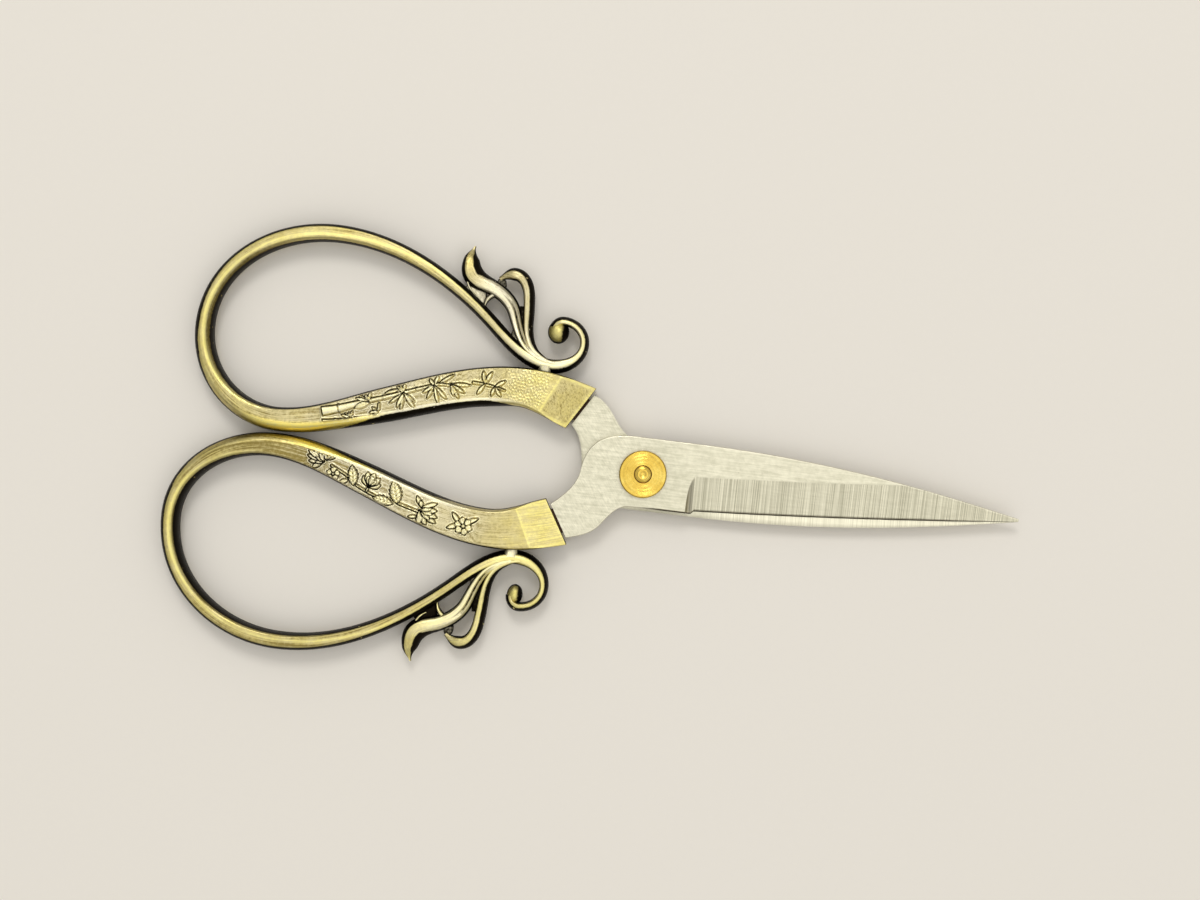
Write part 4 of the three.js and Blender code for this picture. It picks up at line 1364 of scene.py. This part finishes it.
    def painted_highlight(self, strip: Strip, offset: Array, shown: Array) -> None:
        """Paint a pale highlight line: a bell of the offset from its middle, in widths, by what is shown."""
        for name, amount in (("polish_and_highlight", self.highlight_bright), ("silver", self.highlight_pale)):
            strip.add(name, amount * (bell(offset, 1.0) * shown))

    def _route(self) -> Course:
        """Path of the strand, from the mouth along the limb, round the bow and into the volute.

        Returns:
            The path with its sizes.
        """
        middle = self.heel.half_width + self.heel_gap + self.heel_shift
        silver = self.heel.silver * self.silver_share
        heel = replace(self.heel, x=self.heel_x, y=middle, polish_and_highlight=self.heel_polish, silver=silver)
        bow = self.placed(self.bow_stations, self.silver_share)
        for number, (outside, inside) in enumerate(self.bow_dark):
            bow[number] = replace(bow[number], left_dark=outside, right_dark=inside)
        bow[1] = replace(bow[1], polish_and_highlight=self.crown_polish)
        return Course([*self.placed(self.limb_stations), heel, *bow], self.strand_rows)

    def strand(self) -> Surface:
        """Socket, limb, bow and volute: the section carried along the course, with relief on the limb.

        The rows at the mouth are sheared onto its plane, the facets cut the section by sloping planes,
        and rows inside the mouth make the recess for the tang.

        Returns:
            The surface.
        """
        strip = Strip(self._route(), self.face_columns)
        self.shades(strip)
        start, full, stop = self.inner_dark
        black = smooth(start, full, strip.along) * smooth(stop, stop - self.black_run, strip.along)
        strip.across = strip.across + self.inner_swell * black * self._shoulder(strip)
        shift = smooth(self.mouth_run, 0.0, strip.along) * strip.across * math.tan(self.shear)
        plan = strip.plan() + strip.course.tangent[:, None, :] * shift[:, :, None]
        raised = self._press(strip)
        ahead = self._cut_facets(strip, plan)
        self._shade_inner_side(strip, black)
        self._shade_face(strip, raised, ahead)
        self._shade_bow(strip)
        return self._socket(strip, plan)

    @staticmethod
    def _shoulder(strip: Strip) -> Array:
        """Share of the left shoulder's width at each point, from its tilt t: the root of t times (2 - t)."""
        inward = np.clip(strip.tilt, 0.0, 1.0)
        return np.sqrt(inward * (2.0 - inward))

    def _on_limb(self, strip: Strip) -> Array:
        """1 on the limb, falling to 0 at the heel."""
        heel = strip.course.knots[self.HEEL]
        return smooth(heel, heel - self.ground_run, strip.along)

    def _press(self, strip: Strip) -> Array:
        """Press the relief into the limb's front and fill its lines with patina and painted shade.

        Args:
            strip: the strand.

        Returns:
            Height of the relief over the ground.
        """
        s = strip.course.length
        limb = s < strip.course.knots[self.HEEL] - self.relief_end
        face = strip.across[:, strip.front]
        raised, lines = np.zeros((2, *strip.height.shape))
        pressed = self.relief.press(np.broadcast_to(s[:, None], face.shape)[limb], face[limb])
        raised[limb, strip.front], lines[limb, strip.front] = pressed
        inside, outside = strip.margins()
        brow = smooth(0.0, 0.25, inside) * smooth(0.0, 0.12, outside)
        raised = raised * brow
        change = raised - self.relief.ground * self._on_limb(strip)
        change = change * smooth(0.0, self.limb_half, strip.height)
        strip.height = strip.height + np.where(strip.height > 0, change, 0.0)
        strip.darken(lines * brow)
        return raised

    def _cut_facets(self, strip: Strip, plan: Array) -> Array:
        """Cut the sloped faces at the mouth, in front and behind.

        Args:
            strip: the strand.
            plan: places of its points in the plane.

        Returns:
            Distance of each point past the line where the faces start.
        """
        line = self.mouth + way(180.0 - self.facet_skew) * self.facet_length
        ahead = (plan - line) @ way(-self.facet_skew)
        drop = self.facet_drop / self.facet_length * ahead
        near = strip.along < 3.0 * self.facet_length
        lowered = self.relief.ground * self._on_limb(strip)
        top = np.where(near, self.limb_half - lowered - drop, np.inf)
        bottom = np.where(near, drop - self.limb_half, -np.inf)
        strip.height = np.maximum(np.minimum(strip.height, top), bottom)
        return ahead

    def _shade_inner_side(self, strip: Strip, black: Array) -> None:
        """Shade the shoulder towards the other handle: black along the limb, golden by the heel.

        Args:
            strip: the strand.
            black: how black its inner shoulder is.
        """
        start, stop, reach = self.gilt
        golden = smooth(start, start + self.gilt_run, strip.along)
        golden = golden * smooth(stop, stop - self.gilt_run, strip.along) * smooth(0.0, 1.0, strip.height)
        inside, _ = strip.margins()
        strip.masks["gilt"] = golden * smooth(reach, -0.35, inside)
        strip.add("polish_and_highlight", self.gilt_polish * strip.masks["gilt"])
        bared = golden * (strip.tilt > 0) * smooth(1.0, 0.8, strip.tilt)
        strip.masks["patina"] = strip.masks["patina"] * (1.0 - bared)
        fill = 1.0 - self.inner_reach * black
        band = self.patina_full * smooth(fill, fill + 0.3, self._shoulder(strip)) * smooth(0.0, 0.1, black)
        strip.darken(band * self.worn(strip.tilt))
        # painted highlight along the inner border of the face where the shoulder is black
        rim = smooth(0.4, 0.1, inside) * black * (np.abs(strip.tilt) < self.level)
        strip.add("polish_and_highlight", self.rim_highlight * rim)
        strip.add("silver", self.rim_highlight_silver * rim)

    def _shade_face(self, strip: Strip, raised: Array, ahead: Array) -> None:
        """Shade the limb's front: ground, relief, stipple, and the facet with painted highlights along its
        crest and round its frame.

        Args:
            strip: the strand.
            raised: height of the relief.
            ahead: distance past the line where the facet starts.
        """
        inside, outside = strip.margins()
        level = (strip.along < 3.0 * self.facet_length) * (np.abs(strip.tilt) < self.level)
        crest = smooth(0.22, 0.0, np.abs(ahead)) * level
        facet = smooth(0.0, 0.2, ahead) * level
        framed = smooth(0.1, 0.5, ahead) * smooth(0.2, 0.6, strip.along) * level
        framed = framed * smooth(0.1, 0.5, inside) * smooth(0.1, 0.5, outside)
        # motif tops rubbed brighter; on the low burrs round them this paints a pale highlight line
        motif = smooth(0.015, 0.06, raised)
        ground = smooth(self.facet_length, 3.0 * self.facet_length, strip.along) * self._on_limb(strip)
        strip.add("polish_and_highlight", self.motif_polish * motif + self.ground_tone * ground * (1.0 - motif))
        strip.add("polish_and_highlight", self.stipple_polish * self.relief.stippled(strip.along))
        # painted highlights on the facet's crease and frame
        strip.add("polish_and_highlight", self.crest_highlight * crest + self.frame_polish * (facet - framed))
        strip.add("polish_and_highlight", self.facet_polish * framed)
        strip.add("silver", self.motif_silver * motif + self.ground_silver * ground)
        strip.masks["hatch"] = self.facet_hatch * framed

    def _shade_bow(self, strip: Strip) -> None:
        """Shade the bow: painted light on its outer side and painted shade on the inner shoulder, with a
        painted highlight line that wanders across it.

        Args:
            strip: the strand.
        """
        knots = strip.course.knots
        heel, crown = knots[self.HEEL], knots[self.CROWN]
        swell = smooth(heel + 2.0, knots[self.END], strip.along)
        swell = swell * smooth(crown - 4.0, crown - 16.0, strip.along)
        aside = strip.across / strip.size("half_width")
        # painted light towards the outer side, painted shade down the inner shoulder
        lean = np.where(strip.height > 0, aside, 0.0) - smooth(0.03, 0.3, -strip.tilt)
        strip.add("polish_and_highlight", self.bow_side_light * swell * lean)
        line_at = np.interp(strip.along, knots[self.HEEL : self.ROOT + 1], self.highlight_path)
        shown = smooth(heel - 2.0, heel + 8.0, strip.along)
        shown = shown * smooth(knots[self.LAST], knots[self.CURL], strip.along)
        # painted highlight line along the bow and the tail
        self.painted_highlight(strip, (aside - line_at) / self.highlight_width, shown * (strip.height > 0))

    def _socket(self, strip: Strip, plan: Array) -> Surface:
        """Strand with the recess for the tang: each point of the mouth's ring is drawn in to the slot.

        A point goes to where the ray from the slot's middle to it meets the slot's rectangle.

        Args:
            strip: the strand, open at the mouth.
            plan: places of its points in the plane.

        Returns:
            The strand with the rows of the recess in front.
        """
        strand = strip.surface(plan)
        low, high = sorted(self.side * edge for edge in self.slot_heights)
        half = np.array([self.slot_half, (high - low) / 2])
        middle = (low + high) / 2
        ray = np.stack([strip.across[0] - self.slot_shift, strip.height[0] - middle], axis=1)
        ray = ray / np.max(np.abs(ray) / half, axis=1, keepdims=True)
        lateral = way(270.0 - self.mouth_skew) / math.cos(self.shear)
        lip = np.empty((len(ray), 3))
        lip[:, :2] = self.mouth + lateral * (ray[:, :1] + self.slot_shift)
        lip[:, 2] = ray[:, 1] + middle
        depth = np.append(way(180.0 - self.tang_skew), 0.0) * self.slot_depth
        points = np.concatenate([(lip + depth)[None], lip[None], strand.points])
        along = np.concatenate([[-self.slot_depth, -1.0], strand.along])
        masks = {name: np.concatenate([values[[0, 0]], values]) for name, values in strand.masks.items()}
        # painted shade inside the recess for the tang
        masks["patina"][:2] = self.patina_full
        return Surface(points, along, masks, strand.crease)

    def sprig(self, stations: Sequence[Station], groove: float, least: float = 0.0) -> Surface:
        """Leaf or tendril: the section carried along its path, with a groove along its back.

        Args:
            stations: its stations, from the mouth.
            groove: depth of the groove, which fades where the sprig is thin.
            least: least share of the silver tone.

        Returns:
            The surface.
        """
        share = max(0.3 + 0.7 * self.silver_share, least)
        course = Course(self.placed(stations, share), [self.sprig_rows] * (len(stations) - 1))
        strip = Strip(course, self.sprig_columns)
        self.shades(strip)
        half = strip.size("half_width")
        wide = smooth(0.45, 0.8, half) * smooth(0.62, 0.4, strip.along / course.length[-1])
        valley = bell(strip.across + 0.15 * half, 0.16) * wide * (np.abs(strip.tilt) < 0.4)
        strip.height = strip.height - np.sign(strip.height) * groove * valley
        strip.darken(0.7 * valley)
        strip.add("polish_and_highlight", self.scroll_polish)
        shown = 0.14 + 0.34 * np.clip(strip.size("silver"), 0.0, 1.0)
        # painted highlight line along the sprig
        self.painted_highlight(strip, (strip.across / half - 0.2) / 0.3, shown * (strip.height > 0))
        return strip.surface(strip.plan())

    @staticmethod
    def plain_masks(shade: Array, polish_and_highlight: float | Array, silver: float) -> dict[str, Array]:
        """Masks of a small piece from its patina and painted shade, its polish and painted light, and its
        silver.
        """
        whole = np.ones_like(shade)
        return {"patina": shade, "polish_and_highlight": polish_and_highlight * whole, "silver": silver * whole}

    def bead_surface(self) -> Surface:
        """Bead that closes the volute: an egg, rows from pole to pole, with painted shade on the side
        towards the tips and painted light on the other.

        Returns:
            The surface.
        """
        curl = self.place(self.bow_stations[-1].x, self.bow_stations[-1].y)
        wide, tall = self.bead
        middle = curl + np.array(self.bead_inset) * tall
        polar = np.linspace(0.03, 0.97, 28)[:, None] * math.pi
        turn = circle(40)
        whole = np.ones_like(turn)
        east = np.sin(polar) * np.cos(turn)
        north = np.sin(polar) * np.sin(turn)
        up = np.cos(polar) * whole
        ball = np.dstack([middle[0] + wide * east, middle[1] + tall * north, tall * up])
        # painted shade on the side towards the tips and round the upright middle; painted light on the other
        # side
        shade = np.maximum(smooth(0.05, 0.7, east), smooth(0.8, 0.97, np.sin(polar) * whole))
        masks = self.plain_masks(self.patina_full * shade, 0.9 - 0.5 * shade, 0.0)
        return Surface(ball, polar[:, 0] * tall, masks)

    def web(self, corners: Sequence[Point], dark: float) -> Surface:
        """Web of the casting: a pillow over four corners.

        A disc is carried to a square and the square to the four corners; the height is a flattened dome.

        Args:
            corners: its corners from the mouth.
            dark: patina on its top.

        Returns:
            The surface.
        """
        quad = np.array([self.place(*corner) for corner in corners])
        lift = np.linspace(-0.97, 0.97, 15)[:, None] * math.pi / 2
        turn = circle(48)
        whole = np.ones_like(turn)
        reach = np.cos(lift) ** 0.45
        bulge = np.maximum(np.abs(np.cos(turn)), np.abs(np.sin(turn))) ** 0.7
        u = (reach * np.cos(turn) / bulge + 1.0) / 2
        w = (reach * np.sin(turn) / bulge + 1.0) / 2
        weights = np.dstack([(1 - u) * (1 - w), u * (1 - w), u * w, (1 - u) * w])
        height = self.web_half * np.sign(lift) * np.abs(np.sin(lift)) ** 0.8 * whole
        points = np.dstack([weights @ quad, height])
        shade = np.maximum(dark, smooth(0.75, 0.4, np.abs(np.sin(lift)))) * whole
        return Surface(points, lift[:, 0], self.plain_masks(shade, 0.5, 0.9))

    def bridge(self) -> Surface:
        """Post between limb and scroll: a rounded section that is waisted in its middle.

        Returns:
            The surface.
        """
        limb, root = self.limb_stations[1], self.bow_stations[3]
        x = self.mouth[0] + self.bridge_at
        low, high = self.place(limb.x, limb.y)[1], self.place(root.x, root.y)[1]
        share = np.linspace(0.0, 1.0, 20)[:, None]
        turn = circle(32)
        waist = 0.72 + 0.28 * (2 * share - 1.0) ** 2
        power = 0.7  # squares the round section off
        side = 1.5 * waist * np.sign(np.cos(turn)) * np.abs(np.cos(turn)) ** power
        rise = 2.0 * waist**0.4 * np.sign(np.sin(turn)) * np.abs(np.sin(turn)) ** power
        y = (low + (high - low) * share) * np.ones_like(turn)
        shade = 0.9 * smooth(0.45, 0.95, np.abs(np.cos(turn))) * np.ones_like(share)
        return Surface(np.dstack([x + side, y, rise]), y[:, 0], self.plain_masks(shade, 0.75, 0.9))

    def build(self, material: Material) -> None:
        """Make all pieces of the handle.

        Args:
            material: the finish of the casting.
        """
        steps = [min(1.0, number / self.leaf_head) for number in range(len(self.leaf))]
        leaf = [replace(s, x=s.x + self.leaf_shift * step) for s, step in zip(self.leaf, steps)]
        pieces = {
            "strand": self.strand(),
            "leaf": self.sprig(leaf, self.grooves[0], self.leaf_silver),
            "tendril": self.sprig(self.tendril, self.grooves[1]),
            "bead": self.bead_surface(),
            "bridge": self.bridge(),
        }
        for number, spur in enumerate(self.spurs, start=1):
            pieces[f"spur_{number}"] = self.sprig(spur, 0.0)
        for number, (corners, dark) in enumerate(zip(self.webs, self.web_darks), start=1):
            pieces[f"web_{number}"] = self.web(corners, dark)
        flip = (1.0, self.side, 1.0)
        for name, surface in pieces.items():
            dress(f"{self.node}_{name}", surface, flip, material, self.half, self.node)


@dataclass(frozen=True)
class Pivot:
    """The rivet that the blades turn on, and its two washers, as turned pieces."""

    shank: float = 1.15
    flare: float = 0.25  # how much wider and how deep the peened ends are
    dimple: Point = (0.75, 0.16)  # radius and depth
    washer_radius: float = 3.87
    washer_low: float = 1.88
    washer_high: float = 2.98
    top: float = 3.0
    bore: float = 1.2
    chamfer: float = 0.15
    rings: int = 18  # rings of the lathe on a washer
    ring_depth: float = 0.012
    segments: int = 96

    def turned(self, profile: Sequence[Triple]) -> Surface:
        """Turned piece: the profile's radius and height carried round the pivot axis.

        Args:
            profile: radius, height and darkening of each corner, painted shade in the recesses and on the
                side walls.

        Returns:
            The surface.
        """
        corners = np.array(profile)
        turn = circle(self.segments)
        radius, height, shade = (corners[:, i : i + 1] * np.ones_like(turn) for i in range(3))
        points = np.dstack([radius * np.cos(turn), radius * np.sin(turn), height])
        return Surface(points, running(corners[:, :2]), {"patina": shade}, crease=35.0)

    def rivet(self) -> Surface:
        """Rivet: flat peened back end, shank, peened front end with rings and a dimple.

        Returns:
            The surface.
        """
        head = self.shank + self.flare
        radius, depth = self.dimple
        profile = [
            (0.05, -self.top, 0.1),
            (head - 0.1, -self.top, 0.1),
            (head, 0.08 - self.top, 0.5),
            (self.shank, self.flare - self.top, 0.9),
            (self.shank, self.top - self.flare, 0.9),
            (head, self.top - 0.2, 0.5),
            (head - 0.08, self.top - 0.15, 0.2),
            (radius + 0.3, self.top - 0.02, 0.0),
            (radius + 0.2, self.top, 0.0),
            (radius + 0.12, self.top - 0.04, 0.3),
            (radius, self.top - 0.02, 0.0),
            (0.72 * radius, self.top - 0.3 * depth, 0.0),
            (0.6 * radius, self.top - 0.55 * depth, 0.25),
            (0.25 * radius, self.top - 0.95 * depth, 0.0),
            (0.04, self.top - depth, 0.2),
        ]
        return self.turned(profile)

    def washer(self) -> Surface:
        """Front washer, a closed ring: rounded rim, a flat with the lathe's fine rings, and the countersink.

        Returns:
            The surface.
        """
        rim, low, high = self.washer_radius, self.washer_low, self.washer_high
        sink = self.flare + 0.02
        inner, outer = self.bore + sink + 0.1, rim - self.chamfer - 0.05
        at = np.linspace(inner, outer, 4 * self.rings + 1)
        cut = high - self.ring_depth * (0.5 - 0.5 * np.cos(np.arange(len(at)) * math.pi / 2))
        profile = [
            (self.bore, high - sink, 0.9),
            (self.bore + 0.8 * sink, high - 0.2 * sink, 0.8),
            (self.bore + sink, high, 0.5),
            *((r, z, 0.0) for r, z in zip(at, cut)),
            (rim - self.chamfer, high - 0.02, 0.1),
            (rim - 0.03, high - self.chamfer, 0.3),
            (rim, high - self.chamfer - 0.05, 0.5),
            (rim, low + 0.05, 0.8),
            (rim - 0.05, low, 0.8),
            (self.bore, low, 0.9),
            (self.bore, high - sink, 0.9),
        ]
        return self.turned(profile)

    def build(self, material: Material) -> None:
        """Make the rivet and the two washers.

        Args:
            material: the turned finish.
        """
        for node, surface, flip in (
            ("pivot_rivet", self.rivet(), UPRIGHT),
            ("front_washer", self.washer(), UPRIGHT),
            ("back_washer", self.washer(), TURNED_OVER),
        ):
            dress(node + "_turned", surface, flip, material, Half.BACK, node)


def bamboo() -> Relief:
    """Bamboo of the upper limb: two canes with their rings, and sprays of leaves.

    Returns:
        The relief, with a stippled ground at the mouth.
    """
    main = ((22.0, -0.6), (23.5, -1.1), (27.2, -1.0), (32.7, -0.85), (35.3, -0.9))
    motifs: list[Motif] = [
        Cane(((13.0, 0.9), (15.6, 0.1), (18.0, -0.5)), (0.1, 0.16)),
        *fan((14.6, 0.4), [(12.9, -0.6), (13.6, 1.9), (15.2, 1.8)], 0.24),
        *fan((16.2, -0.1), [(15.0, -2.0), (16.3, -2.2), (17.6, 1.4)], 0.26),
        Cane(main, (0.13, 0.28), (27.2, 32.7)),
        Lens((23.4, -1.25), (20.9, -2.15), 0.2),
        *fan((21.6, -0.7), [(18.6, -0.1), (19.7, 1.0), (20.8, 1.7), (21.5, 1.2)], 0.24),
        *fan((24.3, -1.0), [(23.3, -2.5), (24.8, -2.2), (25.9, 0.8)], 0.23),
        *fan((24.3, -1.0), [(26.3, -0.3), (22.8, 1.5), (24.3, 1.9)], 0.23),
        *fan((29.4, -0.9), [(28.9, -2.3), (29.7, -2.3), (30.2, -2.2)], 0.2),
        *fan((29.4, -0.9), [(28.0, 0.9), (32.0, 0.2), (30.5, 1.7)], 0.2),
        *fan((29.4, -0.9), [(28.2, 1.9), (31.0, 1.1)], 0.28),
        Lens((30.0, -1.6), (32.4, -1.45), 0.25),
        Cane(((35.3, -0.9), (38.0, -0.85), (40.2, -0.8), (43.0, -0.9)), (0.34, 0.66), (40.2,), True),
        *fan((35.3, -0.8), [(34.6, -2.2), (35.5, -2.0), (36.5, -2.0), (37.1, -1.8)], 0.22),
        Lens((35.2, -0.6), (37.7, -0.3), 0.42),
        Cane(((33.7, 0.0), (33.9, 0.7), (34.4, 1.3), (35.2, 1.7)), (0.14, 0.2)),
        *fan((34.2, 1.1), [(34.9, 0.3), (35.5, 1.0)], 0.2),
        Cane(((35.3, 1.8), (38.0, 1.4), (41.2, 1.0), (43.2, 0.7)), (0.13, 0.2), (38.0, 41.2), True),
        *fan((38.8, 1.1), [(38.2, 0.1), (38.8, 0.2), (39.4, 0.2), (40.0, 0.3), (38.6, 2.0)], 0.16),
    ]
    return Relief(tuple(motifs), dark=0.72, fade=0.8, stipple=(5.6, 13.0))


def chrysanthemums() -> Relief:
    """Chrysanthemums of the lower limb: open and half-open flowers, buds, stems and toothed leaves.

    Returns:
        The relief.
    """
    motifs: list[Motif] = [
        *fan((15.6, -0.2), [(17.4, 1.2), (13.0, 1.3), (17.5, -1.4)], 0.32),
        *rosette((15.1, -0.4), 1.4, 6, 8.0),
        Cane(((22.3, -0.7), (24.2, -0.85), (26.3, -1.0)), (0.12, 0.12)),
        *fan((22.6, -0.5), [(19.5, -1.4), (19.6, -0.5), (20.0, 0.5)], 0.42, 0.62),
        *fan((22.6, -0.5), [(20.8, -2.2), (21.8, -2.6)], 0.42, 0.62),
        *fan((22.5, -0.4), [(20.6, -1.2), (20.5, -0.3), (20.9, 0.6)], 0.36, 0.62),
        *fan((22.5, 0.1), [(20.4, 1.6), (23.9, 1.4), (23.0, 1.0)], 0.3, 0.6),
        Lens((22.6, -1.6), (23.8, -2.2), 0.22),
        Lens((27.0, -1.5), (30.3, -1.9), 0.8, 0.5, 5),
        Lens((26.3, -1.0), (28.5, 1.95), 1.05, 0.45, 6),
        Cane(((30.2, -1.6), (31.8, -1.6), (33.6, -1.4)), (0.11, 0.11)),
        Cane(((31.7, -1.5), (31.7, -0.8)), (0.1, 0.1)),
        *fan((31.7, -0.8), [(30.1, 0.3), (33.2, 0.4), (30.6, 1.2), (32.8, 1.3), (31.7, 1.6)], 0.48, 0.62),
        *fan((31.7, -0.5), [(31.0, 0.6), (32.4, 0.65), (31.7, 0.95)], 0.36, 0.62),
        Lens((34.0, -1.6), (35.6, 1.15), 0.88, 0.48, 5),
        Cane(((35.4, -0.7), (36.8, -0.5), (38.6, -0.3)), (0.11, 0.11)),
        Lens((35.2, -1.3), (36.3, -2.2), 0.3),
        *rosette((37.8, -1.4), 1.05, 5, 0.0),
        *fan((39.8, 0.2), [(38.5, 1.7), (39.4, 1.7), (40.6, 1.5)], 0.28),
        *fan((40.0, -0.2), [(41.4, -1.7), (41.3, 1.5), (42.3, -0.95)], 0.33, 0.66),
        *fan((40.0, -0.2), [(42.3, 1.15), (42.8, -0.15), (42.9, 0.6)], 0.33, 0.66),
        *fan((40.0, -0.2), [(41.2, -0.8), (41.4, 0.0), (41.1, 0.7)], 0.26, 0.62),
    ]
    return Relief(tuple(motifs), dark=0.85, fade=0.4)


@dataclass(frozen=True)
class Studio:
    """Plain pale floor, soft light from above and the camera straight over the pair."""

    aim: Point = (-7.41, 3.07)  # place on the part below the camera, in millimetres
    height: float = 324.0  # height of the camera
    turn: float = 7.05  # turn of the camera about the upright axis, in degrees
    lens: float = 58.75
    sensor: float = 36.0
    floor_half: float = 1500.0
    floor_colour: Colour = (0.86, 0.812, 0.726, 1.0)
    floor_change: float = 1.015  # how much lighter its fibres are
    floor_scale: float = 900.0  # scale of the fibres per metre
    sky_high: Colour = (1.34, 1.34, 1.33, 1.0)  # light from above, and from the sides
    sky_low: Colour = (0.55, 0.54, 0.53, 1.0)
    sky_strength: float = 0.72
    sky_rise: Point = (0.5, 0.95)  # rises of the way to the sky between which one turns into the other
    lamps: tuple[tuple[str, Triple, float, float], ...] = (  # name, place and side in metres, power in watts
        ("key", (-0.10, 0.48, 0.80), 0.25, 1.8),
        ("fill", (0.25, -0.15, 1.0), 0.9, 1.1),
    )

    def floor(self) -> None:
        """Lay the floor as one square with a faint change of tone."""
        half = self.floor_half * METRES
        corners = [(-half, -half, 0), (half, -half, 0), (half, half, 0), (-half, half, 0)]
        mesh = bpy.data.meshes.new("floor")
        mesh.from_pydata(corners, [], [(0, 1, 2, 3)])
        floor = bpy.data.objects.new("floor", mesh)
        bpy.context.scene.collection.objects.link(floor)
        material = bpy.data.materials.new("pale_paper")
        material.use_nodes = True
        nodes = NodeTree(material.node_tree)
        shader = material.node_tree.nodes["Principled BSDF"]
        shader.inputs["Roughness"].default_value = 0.9
        shader.inputs["Specular IOR Level"].default_value = 0.1
        lighter = tuple(min(1.0, self.floor_change * c) for c in self.floor_colour)
        tone = nodes.mix(nodes.noise(nodes.place(), self.floor_scale), self.floor_colour, lighter)
        nodes.link(tone, shader, "Base Color")
        mesh.materials.append(material)

    def lamp(self, name: str, place: Triple, size: float, power: float) -> None:
        """Hang a square soft light that faces the pair.

        Args:
            name: name of the light.
            place: where it hangs, in metres.
            size: its side in metres.
            power: its power in watts.
        """
        light = bpy.data.lights.new(name, "AREA")
        light.size = size
        light.energy = power
        lamp = bpy.data.objects.new(name, light)
        bpy.context.scene.collection.objects.link(lamp)
        lamp.location = place
        x, y, z = place
        lamp.rotation_euler = (math.atan2(math.hypot(x, y), z), 0.0, math.atan2(y, x) + math.pi / 2)

    def sky(self) -> None:
        """Light from all round: bright above, dim at the height of the floor."""
        world = bpy.data.worlds.new("studio")
        bpy.context.scene.world = world
        world.use_nodes = True
        nodes = NodeTree(world.node_tree)
        background = world.node_tree.nodes["Background"]
        place = nodes.add("ShaderNodeTexCoord").outputs["Generated"]
        up = nodes.add("ShaderNodeSeparateXYZ", {0: place}).outputs["Z"]
        tone = nodes.mix(nodes.ramp(up, *self.sky_rise), self.sky_low, self.sky_high)
        nodes.link(tone, background, "Color")
        background.inputs["Strength"].default_value = self.sky_strength

    def camera(self) -> None:
        """Set the camera straight above the pair."""
        camera = bpy.data.cameras.new("camera")
        camera.lens = self.lens
        camera.sensor_width = self.sensor
        camera.clip_start = 0.01
        eye = bpy.data.objects.new("camera", camera)
        bpy.context.scene.collection.objects.link(eye)
        eye.location = [METRES * value for value in (*self.aim, self.height)]
        eye.rotation_euler = (0.0, 0.0, math.radians(self.turn))
        bpy.context.scene.camera = eye

    def build(self) -> None:
        """Set up the floor, the lights and the camera."""
        self.floor()
        self.sky()
        for lamp in self.lamps:
            self.lamp(*lamp)
        self.camera()
        bpy.context.scene.view_settings.view_transform = "Standard"


def lower_handle() -> Handle:
    """The handle of the front blade, with chrysanthemums on its limb and a slightly wider bow.

    Returns:
        The handle.
    """
    return Handle(
        Half.FRONT,
        "lower_handle",
        -1,
        chrysanthemums(),
        neck_extra=FRONT_NECK,
        widening=1.055,
        inner_dark=(14.0, 23.0, 46.0),
        inner_reach=0.6,
        inner_swell=0.0,
        gilt=(29.0, 49.0, 0.15),
        heel_shift=0.35,
        heel_polish=0.1,
        ground_tone=-0.06,
        ground_silver=0.2,
        silver_share=0.12,
        scroll_polish=0.16,
        bow_dark=((0.03, 0.16), (0.05, 0.12), (0.03, 0.05)),
        crown_polish=0.2,
        leaf_shift=-0.55,
        bead=(1.3, 1.7),
        facet_polish=0.14,
        facet_hatch=0.0,
        web_darks=(0.85, 0.5, 0.75, 0.6),
    )


def main() -> None:
    """Build the studio and the pieces in order."""
    logging.basicConfig(level=logging.INFO, format="%(name)s: %(message)s")
    Studio().build()
    groups = Groups()
    steel = SatinSteel(groups).material()
    casting = AntiqueBrass(groups).material()
    turned = TurnedBrass(groups).material()
    Blade(Half.BACK, "back_blade").build(steel)
    Blade(Half.FRONT, "front_blade", FRONT_NECK).build(steel)
    Handle(Half.BACK, "upper_handle", 1, bamboo()).build(casting)
    lower_handle().build(casting)
    Pivot().build(turned)
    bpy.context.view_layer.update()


if __name__ == "__main__":
    main()
